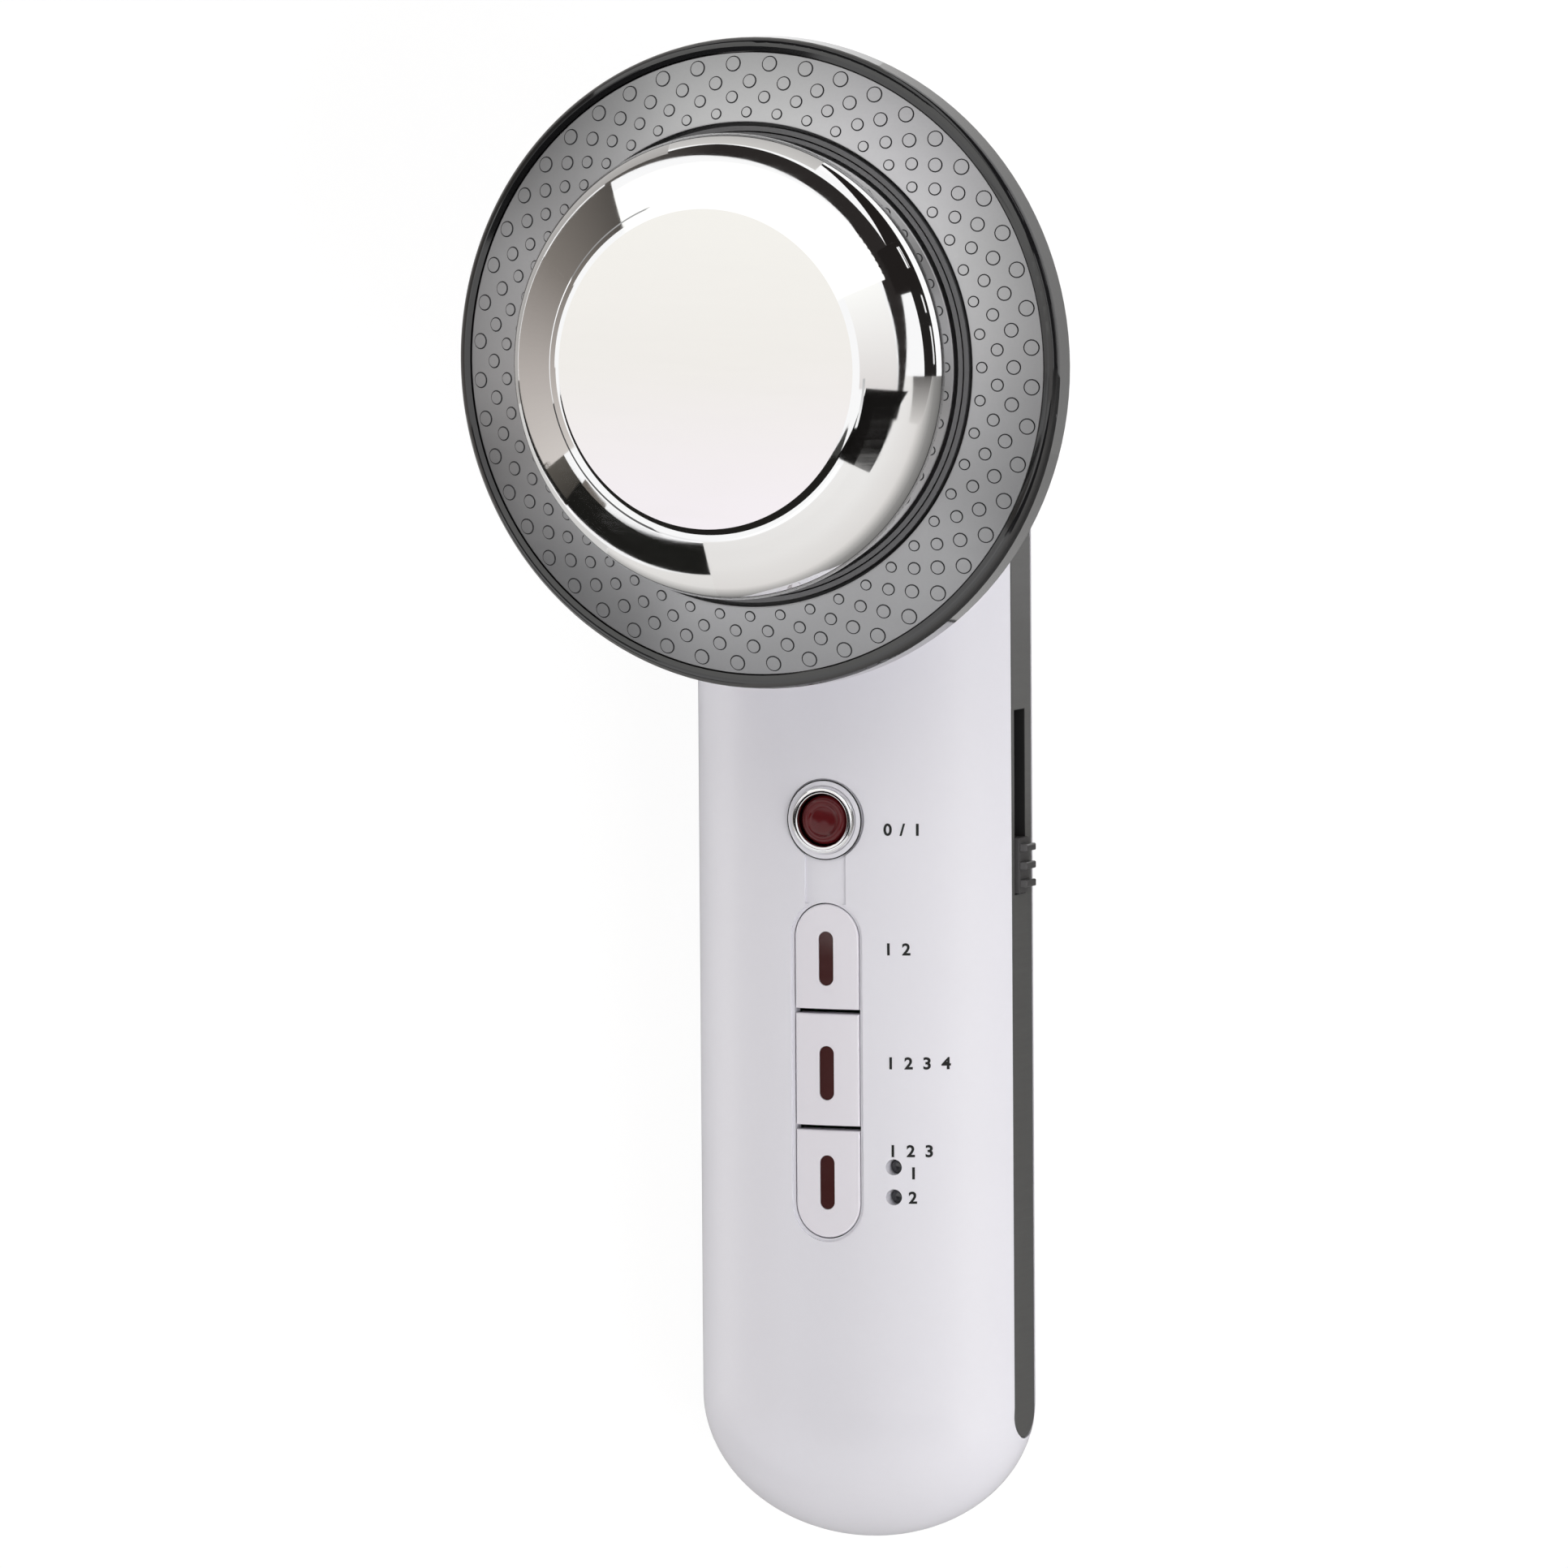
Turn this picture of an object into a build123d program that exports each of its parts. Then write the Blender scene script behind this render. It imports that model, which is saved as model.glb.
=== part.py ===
from build123d import *
import os

# Hand-held facial toning device: a round treatment head on an oval wand.
# It lies on its back. +Z is the way the treatment face looks, +Y runs from the
# wand's tail to the head, +X is the side with the level slider. Millimetres.

# ---------------------------------------------------------------- wand
TAIL_Y = -95.65            # tip of the tail
HEAD_Y = 55.15             # axis of the round head
CROWN_Y = HEAD_Y + 23.0    # tip of the wand behind the head
DOME = 18.0                # length of each rounded end
OVAL_X = 22.25             # half width of the full oval
OVAL_Z = 13.2              # half depth of the full oval
FLAT_X = 21.45             # the sides are cut flat here, for the bands
MID = 12.75                # parting plane; the oval is cut flat at Z = 0, for the back
FRONT = MID + OVAL_Z       # height of the wand's front along its middle
WALL = 2.0                 # wall at front, back and ends
INNER_X = 18.7             # half width of the cavity
INNER_Z = OVAL_Z - WALL
BEYOND = 250.0             # longer than the wand, for cutting slabs

# ---------------------------------------------------------------- side bands
BAND_T = 1.25              # thickness of a side band
BAND_H = 6.8
BAND_GAP = 0.1             # reveal round a band
BAND_EDGE = 0.35           # rounding of a band's outer edge
BAND_LOW = TAIL_Y + 13.5
BAND_HIGH = CROWN_Y - 13.5

# ---------------------------------------------------------------- level slider
SLOT_LOW = -13.0
SLOT_HIGH = 10.4
SLOT_H = 3.6
SLOT_Z = MID + 0.7
KNOB_L = 7.0
KNOB_H = 3.3
KNOB_Y = SLOT_LOW + 0.2 + KNOB_L / 2
KNOB_BACK = 17.9
KNOB_FACE = 22.05          # the knob's plate
RIB_TIP = 23.1
RIB_ROOT = 0.3             # how far a rib is rooted in the plate
RIB_W = 0.9
RIB_PITCH = 2.27
RIB_EDGE = 0.3
SLIDE_TRAVEL = 15.9
LEVER_BACK = 14.5          # the lever joins the knob to the slide control
LEVER_TIP = 20.5
LEVER_W = 4.0
LEVER_T = 1.0
LEVER_GAP = 0.05
CONTROL_BACK = 12.2
CONTROL_FACE = 16.8
CONTROL_L = 32.0
CONTROL_H = 6.6
TRACK_BACK = 13.6          # floor of the slot that the lever runs in
TRACK_H = 1.5
TRACK_SPARE = 0.5          # room past the lever at both ends

# ---------------------------------------------------------------- power button
POWER_Y = -3.2
RING_R = 4.7               # chrome ring
RING_BORE = 3.3
RING_STEM_R = 4.0          # its sleeve through the shell
RING_STEM_LOW = 22.5
RING_CREST_R = 4.25
RING_TOP = FRONT + 0.85
POWER_HOLE_R = 4.1
BUTTON_R = 3.15
BUTTON_TOP = FRONT + 0.7
BUTTON_EDGE = 0.5
BUTTON_DISH_R = 2.2
BUTTON_DISH = 0.3
BUTTON_FLANGE_R = 4.4
BUTTON_FLANGE_T = 1.2
BUTTON_LOW = 21.0
STEM_W = 3.0               # square plunger of the power switch
STEM_LOW = 16.5
STEM_GAP = 0.15
SWITCH_W = 8.5
SWITCH_H = 5.4
SWITCH_FLOOR = 0.9

# ---------------------------------------------------------------- key strip
STRIP_TOP = -13.85
STRIP_END = -56.1
STRIP_W = 8.65
KEY_SPLITS = (-27.45, -42.2)
KEY_GAP = 0.6              # between two keys
KEY_CLEAR = 0.15           # round the strip
KEY_EDGE = 0.25
KEY_SINK = 0.15            # key tops below the wand's surface
KEY_FLANGE_W = 10.4        # tabs under the shell that hold a key in
KEY_FLANGE_L = 9.0
KEY_FLANGE_T = 1.0
KEY_FLANGE_TOP = 22.9
KEY_FOOT_W = 3.0           # foot that stands on the plunger
WINDOW_Y = (-20.75, -35.25, -49.1)
WINDOW_L = 6.9
WINDOW_W = 2.0
WINDOW_GAP = 0.05
WINDOW_SINK = 0.25
PANEL_DEPTH = 0.3          # the keyhole-shaped panel is sunk by this much
PANEL_RIM = 0.55           # panel left showing round the keys
PANEL_NECK = 5.6

# ---------------------------------------------------------------- indicators
LAMP_X = 8.7
LAMPS_Y = (-46.95, -50.75)
LAMP_R = 1.0
LAMP_GAP = 0.05
LAMP_SINK = 1.5

# ---------------------------------------------------------------- main board
BOARD_LOW = 13.0
BOARD_TOP = 14.6
BOARD_W = 23.6
BOARD_Y0 = -70.0
BOARD_Y1 = 22.0
TACT = 6.0                 # key switches
TACT_H = 3.5
TACT_FLOOR = 0.7
PLUNGER_R = 1.7
PLUNGER_LOW = 16.2
PLUNGER_TOP = 19.6
BORE_CLEAR = 0.15
TRANSFORMER_Y = -50.0
TRANSFORMER_CORE = (15.0, 13.0, 8.8)
TRANSFORMER_COIL = (10.0, 17.0, 5.4)
TRANSFORMER_LIFT = 1.6     # from the core's underside to the coil's
CAPACITORS = ((-5.5, -33.0), (5.5, -33.0), (0.0, -22.0))
CAPACITOR_R = 4.0
CAPACITOR_LOW = 4.4
CAPACITOR_EDGE = 0.6
CHOKE_Y = -7.0
CHOKE_R = 5.6
CHOKE_BORE = 2.4
CHOKE_LOW = 5.2
CHOKE_SEAT = 2.0           # the bore ends this far under the board
SINK_Y = 8.0
SINK_W = 14.0
SINK_L = 10.0
SINK_BASE = 1.5
SINK_H = 5.5
FIN_T = 0.9
FIN_PITCH = 2.6
FIN_COUNT = 5

# ---------------------------------------------------------------- head
RIM_Z = 47.05              # plane of the head's rim
COLLAR_R = 20.4
COLLAR_BLEND = 5.0
COLLAR_WALL = 2.5
COLLAR_TOP = 28.5
FLOOR_T = 2.0
LEAD_HOLE_R = 7.0          # through both floors, for the leads
CUP_WALL = 2.0
CUP_BACK = 41.8            # flat back of the head
CUP_R = 38.2
CUP_FLARE_R = 36.6
FLARE_ARC = 21.0
SHELF = 43.5               # seat for the lamp board and the cover
SHELF_R = 27.0
SHELF_DROP = 4.5
BEZEL_R = 40.5
BEZEL_GAP = 0.1            # to the cup, and to the cover
BEZEL_FOOT_R = 39.3
BEZEL_FOOT = 1.3           # height of the bevel round its foot
BEZEL_DRAFT = 0.1
BEZEL_CREST_R = 39.3
BEZEL_CREST = 0.3          # above the rim plane
COVER_R = 38.6
COVER_BORE = 30.0
COVER_RISE = 2.35          # the cover is a shallow cone
COVER_T = 1.8
CAP_R = 28.8               # steel treatment cap
CAP_TOP = RIM_Z + 15.5
CAP_LIP = RIM_Z + 9.95     # where the shoulder would meet the wall
CAP_LIP_EDGE = 2.4
CAP_SHOULDER = RIM_Z + 12.07
CAP_SHOULDER_R = 26.0      # the flank turns a little steeper here
CAP_SHOULDER_EDGE = 8.0
CAP_FACE_R = 20.58
CAP_FACE_EDGE = 0.9
CAP_T = 1.0
CAP_INNER_R = CAP_R - CAP_T
FLANGE_LOW = 45.7
FLANGE_TOP = 46.9
FLANGE_R = 30.4
GASKET_GAP = 0.1
GASKET_T = 0.6
GASKET_FOOT = 0.5
GASKET_TOP = RIM_Z + 2.1
SEAL_R = 30.2
LAMP_BOARD_TOP = SHELF + 1.0
LAMP_BOARD_R = 36.3
LAMP_BOARD_BORE = 24.5
LAMP_RING_R = 33.6
LAMP_COUNT = 16
LAMP_CHIP = (3.0, 3.0, 0.8)
DISC_R = 12.5              # ceramic disc behind the treatment face
DISC_T = 2.1

# ---------------------------------------------------------------- leads
LEAD_Z = 15.6
DISC_LEADS_X = (-1.5, 1.5)
DISC_LEAD_R = 0.6
DISC_LEAD_BEND = 8.0
LAMP_LEADS = ((-5.2, 1.2), (-3.6, -1.2))    # X along the wand, Y in the head
LAMP_LEAD_R = 0.5
LAMP_LEAD_BEND = 3.5
LAMP_LEAD_TIP = LAMP_BOARD_BORE - 0.8

# ---------------------------------------------------------------- screws
CASE_SCREWS = ((-15.2, -66.0), (15.2, -66.0), (-15.2, 27.0), (15.2, 27.0), (0.0, 70.0))
CASE_SEAT = 6.6
CASE_TIP = 17.6
CASE_POST_R = 3.1
CASE_WELL_R = 2.6
CASE_HOLE_R = 1.4
CASE_PILOT_R = 1.15
CASE_HEAD_R = 2.2
CASE_SHANK_R = 1.1
CASE_HEAD_H = 1.8
CROSS_L = 2.6              # cross recess of a case screw
CROSS_W = 0.6
CROSS_DEPTH = 0.7
BOARD_SCREWS = ((-9.3, -64.0), (9.3, -64.0), (-9.3, 16.0), (9.3, 16.0))
BOARD_TIP = 19.4
BOARD_POST_R = 2.4
BOARD_HOLE_R = 1.2
BOARD_PILOT_R = 0.95
BOARD_HEAD_R = 1.8
BOARD_SHANK_R = 0.9
BOARD_HEAD_H = 1.3
HEAD_SCREW_PITCH = 18.4    # four screws on a square
HEAD_TIP = 21.0
HEAD_POST_LOW = 20.0
HEAD_POST_R = 2.8
HEAD_HOLE_R = 1.3
HEAD_PILOT_R = 1.05
HEAD_HEAD_R = 2.0
HEAD_SHANK_R = 1.0
HEAD_HEAD_H = 1.4
PILOT_SPARE = 0.6          # a pilot hole goes past its screw's tip

# ---------------------------------------------------------------- power inlet
JACK_Z = 8.9
JACK_R = 3.0
JACK_GAP = 0.1
JACK_BORE = 2.85
JACK_FLOOR = 10.5          # depth of the socket from the tail's tip
JACK_NOSE = 9.0
JACK_BODY = (9.0, 9.0, 7.6)
JACK_BODY_Y = TAIL_Y + 13.0
PIN_R = 1.0
PIN_TIP = 2.6              # the pin stands back this far from the tail's tip
PIN_EDGE = 0.3

HEAD_AXIS = Axis((0, HEAD_Y, 0), (0, 0, 1))
HEAD_PLANE = Plane(origin=(0, HEAD_Y, 0), x_dir=(1, 0, 0), z_dir=(0, -1, 0))
POWER_AXIS = Axis((0, POWER_Y, 0), (0, 0, 1))
POWER_PLANE = Plane(origin=(0, POWER_Y, 0), x_dir=(1, 0, 0), z_dir=(0, -1, 0))
PARTING = Plane.XY.offset(MID)
HIGH = 30.0                # above every hole in the wand's front
BOTTOM_UP = (Align.CENTER, Align.CENTER, Align.MIN)
OUTWARD = (Align.MIN, Align.CENTER, Align.CENTER)

os.makedirs("parts", exist_ok=True)


def save(builder, name):
    """Label a finished piece and write it as parts/NAME.step."""
    builder.part.label = name
    export_step(builder.part, f"parts/{name}.step")


def oval_body(half_x, half_z, y_low, y_high, dome):
    """A body turned about the Y axis with domed ends, then squashed in Z to an oval."""
    with BuildPart() as body:
        with BuildSketch(Plane.XY):
            with BuildLine():
                EllipticalCenterArc((0, y_low + dome), half_x, dome, start_angle=270, arc_size=90)
                Line((half_x, y_low + dome), (half_x, y_high - dome))
                EllipticalCenterArc((0, y_high - dome), half_x, dome, start_angle=0, arc_size=90)
                Line((0, y_high), (0, y_low))
            make_face()
        revolve(axis=Axis.Y)
        scale(by=(1, 1, half_z / half_x))
    return body.part


def drum(radius, z_low, z_high, mode=Mode.ADD):
    """A vertical cylinder between two heights, at the builder's current locations."""
    with Locations((0, 0, z_low)):
        Cylinder(radius, z_high - z_low, align=BOTTOM_UP, mode=mode)


def plank(x_low, x_high, length, height, mode=Mode.ADD):
    """A box between two X values, centred on the builder's current locations in Y and Z."""
    with Locations((x_low, 0, 0)):
        Box(x_high - x_low, length, height, align=OUTWARD, mode=mode)


def screws(head_r, shank_r, seat, head_z, tip):
    """Screws at the current locations: the head runs from head_z to the seat, the shank to tip."""
    drum(head_r, min(head_z, seat), max(head_z, seat))
    drum(shank_r, min(seat, tip), max(seat, tip))


def lead(points, radius, bend):
    """A round lead along straight runs joined by arcs."""
    with BuildPart() as wire:
        with BuildLine() as path:
            FilletPolyline(*points, radius=bend)
        with BuildSketch(Plane(origin=path.line @ 0, z_dir=path.line % 0)):
            Circle(radius)
        sweep(path=path.line)
    return wire.part


# ================================================================ wand shells
# The outer form: the oval with flat sides and a flat back, and the collar that
# carries the head.
with BuildPart() as outer:
    with Locations((0, 0, MID)):
        add(oval_body(OVAL_X, OVAL_Z, TAIL_Y, CROWN_Y, DOME))
    Box(2 * FLAT_X, BEYOND, RIM_Z, align=BOTTOM_UP, mode=Mode.INTERSECT)
    with Locations((0, HEAD_Y, 0)):
        drum(COLLAR_R, MID, COLLAR_TOP)
    collar_wall = outer.faces().filter_by(GeomType.CYLINDER).filter_by(lambda face: face.radius == COLLAR_R)
    collar_foot = [edge for edge in collar_wall[0].edges() if edge.center().Z < FRONT and edge.length > 1]
    fillet(collar_foot, COLLAR_BLEND)

# The cavity: what is left of the inner oval round the screw columns and posts.
with BuildPart() as cavity:
    with Locations((0, 0, MID)):
        add(oval_body(INNER_X, INNER_Z, TAIL_Y + WALL, CROWN_Y - WALL, DOME - WALL))
    with Locations((0, HEAD_Y, 0)):
        drum(COLLAR_R - COLLAR_WALL, MID, COLLAR_TOP - FLOOR_T)
    with Locations(*CASE_SCREWS):
        drum(CASE_POST_R, 0, HIGH, Mode.SUBTRACT)
    with Locations(*BOARD_SCREWS):
        drum(BOARD_POST_R, BOARD_TOP, HIGH, Mode.SUBTRACT)
    with Locations((0, HEAD_Y)):
        with GridLocations(HEAD_SCREW_PITCH, HEAD_SCREW_PITCH, 2, 2):
            drum(HEAD_POST_R, HEAD_POST_LOW, HIGH, Mode.SUBTRACT)

# Outlines on the front: the key opening and the keyhole-shaped sunk panel.
STRIP_Y = (STRIP_TOP + STRIP_END) / 2
STRIP_L = STRIP_TOP - STRIP_END
with BuildSketch(Plane.XY) as key_opening:
    with Locations((0, STRIP_Y)):
        SlotOverall(STRIP_L + 2 * KEY_CLEAR, STRIP_W + 2 * KEY_CLEAR, rotation=90)

with BuildSketch(Plane.XY) as panel_outline:
    with Locations((0, STRIP_Y)):
        SlotOverall(STRIP_L + 2 * PANEL_RIM, STRIP_W + 2 * PANEL_RIM, rotation=90)
    with Locations((0, POWER_Y)):
        Circle(RING_R + PANEL_RIM)
    with Locations((0, (POWER_Y + STRIP_TOP) / 2)):
        Rectangle(PANEL_NECK, POWER_Y - STRIP_TOP)

with BuildPart() as panel_sink:
    with BuildSketch(PARTING):
        add(panel_outline.sketch)
    extrude(amount=HIGH - MID)
    with Locations((0, 0, -PANEL_DEPTH)):
        add(outer.part, mode=Mode.SUBTRACT)

BAND_Y = (BAND_LOW + BAND_HIGH) / 2
BAND_L = BAND_HIGH - BAND_LOW
SLOT_Y = (SLOT_LOW + SLOT_HIGH) / 2
SLOT_L = SLOT_HIGH - SLOT_LOW

# What both shells lose at the sides: a pocket for each band, and the slider's slot.
with BuildPart() as side_cuts:
    with BuildSketch(Plane.YZ):
        with Locations((BAND_Y, MID)):
            SlotOverall(BAND_L + 2 * BAND_GAP, BAND_H + 2 * BAND_GAP)
    extrude(amount=OVAL_X, both=True)
    Box(2 * (FLAT_X - BAND_T), BEYOND, RIM_Z, mode=Mode.SUBTRACT)
    with Locations((0, SLOT_Y, SLOT_Z)):
        plank(CONTROL_FACE, OVAL_X, SLOT_L, SLOT_H)

with BuildPart() as front_shell:
    add(outer.part)
    add(cavity.part, mode=Mode.SUBTRACT)
    split(bisect_by=PARTING, keep=Keep.TOP)
    add(panel_sink.part, mode=Mode.SUBTRACT)
    with BuildSketch(PARTING):
        add(key_opening.sketch)
        with Locations((0, POWER_Y)):
            Circle(POWER_HOLE_R)
        with Locations(*[(LAMP_X, y) for y in LAMPS_Y]):
            Circle(LAMP_R)
    extrude(amount=HIGH - MID, mode=Mode.SUBTRACT)
    with Locations((0, HEAD_Y)):
        drum(LEAD_HOLE_R, MID, HIGH, Mode.SUBTRACT)
        with GridLocations(HEAD_SCREW_PITCH, HEAD_SCREW_PITCH, 2, 2):
            drum(HEAD_PILOT_R, MID, HIGH, Mode.SUBTRACT)
    with Locations(*CASE_SCREWS):
        drum(CASE_PILOT_R, MID, CASE_TIP + PILOT_SPARE, Mode.SUBTRACT)
    with Locations(*BOARD_SCREWS):
        drum(BOARD_PILOT_R, MID, BOARD_TIP + PILOT_SPARE, Mode.SUBTRACT)
    add(side_cuts.part, mode=Mode.SUBTRACT)
save(front_shell, "front_shell")

with BuildPart() as rear_shell:
    add(outer.part)
    add(cavity.part, mode=Mode.SUBTRACT)
    split(bisect_by=PARTING, keep=Keep.BOTTOM)
    with Locations(*CASE_SCREWS):
        drum(CASE_WELL_R, 0, CASE_SEAT, Mode.SUBTRACT)
        drum(CASE_HOLE_R, 0, MID, Mode.SUBTRACT)
    with BuildSketch(Plane.XZ.offset(-TAIL_Y)):
        with Locations((0, JACK_Z)):
            Circle(JACK_R + JACK_GAP)
    extrude(amount=-JACK_NOSE, mode=Mode.SUBTRACT)
    add(side_cuts.part, mode=Mode.SUBTRACT)
save(rear_shell, "rear_shell")

with BuildPart() as side_band_right:
    with BuildSketch(Plane.YZ.offset(FLAT_X - BAND_T)):
        with Locations((BAND_Y, MID)):
            SlotOverall(BAND_L, BAND_H)
    extrude(amount=BAND_T)
    fillet(side_band_right.faces().sort_by(Axis.X)[-1].edges(), BAND_EDGE)
    with Locations((0, SLOT_Y, SLOT_Z)):
        plank(CONTROL_FACE, OVAL_X, SLOT_L, SLOT_H, Mode.SUBTRACT)
save(side_band_right, "side_band_right")

with BuildPart() as side_band_left:
    with BuildSketch(Plane.YZ.offset(-FLAT_X)):
        with Locations((BAND_Y, MID)):
            SlotOverall(BAND_L, BAND_H)
    extrude(amount=BAND_T)
    fillet(side_band_left.faces().sort_by(Axis.X)[0].edges(), BAND_EDGE)
save(side_band_left, "side_band_left")

# ================================================================ level slider
with BuildPart() as slider_knob:
    with Locations((0, KNOB_Y, SLOT_Z)):
        plank(KNOB_BACK, KNOB_FACE, KNOB_L, KNOB_H)
        with GridLocations(1, RIB_PITCH, 1, 3):
            plank(KNOB_FACE - RIB_ROOT, RIB_TIP, RIB_W, KNOB_H - RIB_ROOT)
    fillet(slider_knob.faces().group_by(Axis.X)[-1].edges(), RIB_EDGE)
    socket_w = LEVER_W + 2 * LEVER_GAP
    socket_h = LEVER_T + 2 * LEVER_GAP
    with Locations((0, KNOB_Y, SLOT_Z)):
        plank(KNOB_BACK, LEVER_TIP + LEVER_GAP, socket_w, socket_h, Mode.SUBTRACT)
save(slider_knob, "slider_knob")

with BuildPart() as slide_lever:
    with Locations((0, KNOB_Y, SLOT_Z)):
        plank(LEVER_BACK, LEVER_TIP, LEVER_W, LEVER_T)
save(slide_lever, "slide_lever")

with BuildPart() as slide_control:
    with Locations((0, SLOT_Y, SLOT_Z)):
        plank(CONTROL_BACK, CONTROL_FACE, CONTROL_L, CONTROL_H)
    with Locations((0, KNOB_Y + SLIDE_TRAVEL / 2, SLOT_Z)):
        plank(TRACK_BACK, CONTROL_FACE, SLIDE_TRAVEL + LEVER_W + 2 * TRACK_SPARE, TRACK_H, Mode.SUBTRACT)
save(slide_control, "slide_control")

# ================================================================ power button
with BuildPart() as power_ring:
    seat = FRONT - PANEL_DEPTH
    crest = (RING_CREST_R, RING_TOP)
    shoulder = (RING_R, RING_TOP - 0.6)
    brow = (RING_CREST_R - 0.55, RING_TOP - 0.15)
    with BuildSketch(POWER_PLANE):
        with BuildLine():
            Polyline(
                (RING_BORE, RING_STEM_LOW),
                (RING_STEM_R, RING_STEM_LOW),
                (RING_STEM_R, seat),
                (RING_R, seat),
                shoulder,
            )
            ThreePointArc(shoulder, crest, brow)
            Polyline(brow, (RING_BORE, RING_TOP - 0.55), (RING_BORE, RING_STEM_LOW))
        make_face()
    revolve(axis=POWER_AXIS)
save(power_ring, "power_ring")

with BuildPart() as power_button:
    dish_floor = BUTTON_TOP - BUTTON_DISH
    with BuildSketch(POWER_PLANE):
        with BuildLine():
            Polyline(
                (0, BUTTON_LOW),
                (BUTTON_FLANGE_R, BUTTON_LOW),
                (BUTTON_FLANGE_R, BUTTON_LOW + BUTTON_FLANGE_T),
                (BUTTON_R, BUTTON_LOW + BUTTON_FLANGE_T),
                (BUTTON_R, BUTTON_TOP - BUTTON_EDGE),
                (BUTTON_R - BUTTON_EDGE, BUTTON_TOP),
                (BUTTON_DISH_R, BUTTON_TOP),
                (BUTTON_DISH_R - BUTTON_DISH, dish_floor),
                (0, dish_floor),
                (0, BUTTON_LOW),
            )
        make_face()
    revolve(axis=POWER_AXIS)
save(power_button, "power_button")

with BuildPart() as power_plunger:
    with Locations((0, POWER_Y, STEM_LOW)):
        Box(STEM_W, STEM_W, BUTTON_LOW - STEM_LOW, align=BOTTOM_UP)
save(power_plunger, "power_plunger")

with BuildPart() as power_switch:
    well = STEM_W + 2 * STEM_GAP
    with Locations((0, POWER_Y, BOARD_TOP)):
        Box(SWITCH_W, SWITCH_W, SWITCH_H, align=BOTTOM_UP)
    with Locations((0, POWER_Y, BOARD_TOP + SWITCH_FLOOR)):
        Box(well, well, SWITCH_H, align=BOTTOM_UP, mode=Mode.SUBTRACT)
save(power_switch, "power_switch")

# ================================================================ keys
# The strip is one slot outline cut into three keys. A key's top follows the wand.
key_ends = [STRIP_TOP + 1] + list(KEY_SPLITS) + [STRIP_END - 1]
for number, window_y in enumerate(WINDOW_Y):
    high = key_ends[number] - (KEY_GAP / 2 if number > 0 else 0)
    low = key_ends[number + 1] + (KEY_GAP / 2 if number < 2 else 0)
    with BuildSketch(Plane.XY) as key_outline:
        with Locations((0, STRIP_Y)):
            SlotOverall(STRIP_L, STRIP_W, rotation=90)
        with Locations((0, (high + low) / 2)):
            Rectangle(STRIP_W + 2, high - low, mode=Mode.INTERSECT)
    with BuildPart() as key:
        with BuildSketch(Plane.XY.offset(KEY_FLANGE_TOP)):
            add(key_outline.sketch)
        extrude(amount=HIGH - KEY_FLANGE_TOP)
        with Locations((0, 0, -KEY_SINK)):
            add(outer.part, mode=Mode.INTERSECT)
        fillet(key.faces().sort_by(Axis.Z)[-1].edges(), KEY_EDGE)
        with Locations((0, window_y, KEY_FLANGE_TOP - KEY_FLANGE_T)):
            Box(KEY_FLANGE_W, KEY_FLANGE_L, KEY_FLANGE_T, align=BOTTOM_UP)
        with Locations((0, window_y, PLUNGER_TOP)):
            Box(KEY_FOOT_W, KEY_FOOT_W, KEY_FLANGE_TOP - PLUNGER_TOP, align=BOTTOM_UP)
        with BuildSketch(Plane.XY.offset(KEY_FLANGE_TOP)):
            with Locations((0, window_y)):
                SlotOverall(WINDOW_L, WINDOW_W, rotation=90)
        extrude(amount=HIGH - KEY_FLANGE_TOP, mode=Mode.SUBTRACT)
    save(key, f"key_{number + 1}")

    with BuildPart() as key_window:
        with BuildSketch(Plane.XY.offset(KEY_FLANGE_TOP)):
            with Locations((0, window_y)):
                SlotOverall(WINDOW_L - 2 * WINDOW_GAP, WINDOW_W - 2 * WINDOW_GAP, rotation=90)
        extrude(amount=HIGH - KEY_FLANGE_TOP)
        with Locations((0, 0, -WINDOW_SINK)):
            add(outer.part, mode=Mode.INTERSECT)
    save(key_window, f"key_window_{number + 1}")

    with BuildPart() as key_plunger:
        with Locations((0, window_y)):
            drum(PLUNGER_R, PLUNGER_LOW, PLUNGER_TOP)
    save(key_plunger, f"key_plunger_{number + 1}")

with BuildPart() as key_switches:
    with Locations(*[(0, y, BOARD_TOP) for y in WINDOW_Y]):
        Box(TACT, TACT, TACT_H, align=BOTTOM_UP)
    with Locations(*[(0, y) for y in WINDOW_Y]):
        drum(PLUNGER_R + BORE_CLEAR, BOARD_TOP + TACT_FLOOR, HIGH, Mode.SUBTRACT)
save(key_switches, "key_switches")

with BuildPart() as indicator_lamps:
    with Locations(*[(LAMP_X, y) for y in LAMPS_Y]):
        drum(LAMP_R - LAMP_GAP, BOARD_TOP, FRONT - LAMP_SINK)
save(indicator_lamps, "indicator_lamps")

# ================================================================ main board
with BuildPart() as main_board:
    with Locations((0, (BOARD_Y0 + BOARD_Y1) / 2, BOARD_LOW)):
        Box(BOARD_W, BOARD_Y1 - BOARD_Y0, BOARD_TOP - BOARD_LOW, align=BOTTOM_UP)
    with Locations(*BOARD_SCREWS):
        drum(BOARD_HOLE_R, BOARD_LOW, BOARD_TOP, Mode.SUBTRACT)
save(main_board, "main_board")

with BuildPart() as transformer:
    core_low = BOARD_LOW - TRANSFORMER_CORE[2]
    with Locations((0, TRANSFORMER_Y, core_low)):
        Box(*TRANSFORMER_CORE, align=BOTTOM_UP)
    with Locations((0, TRANSFORMER_Y, core_low + TRANSFORMER_LIFT)):
        Box(*TRANSFORMER_COIL, align=BOTTOM_UP)
save(transformer, "transformer")

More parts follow.
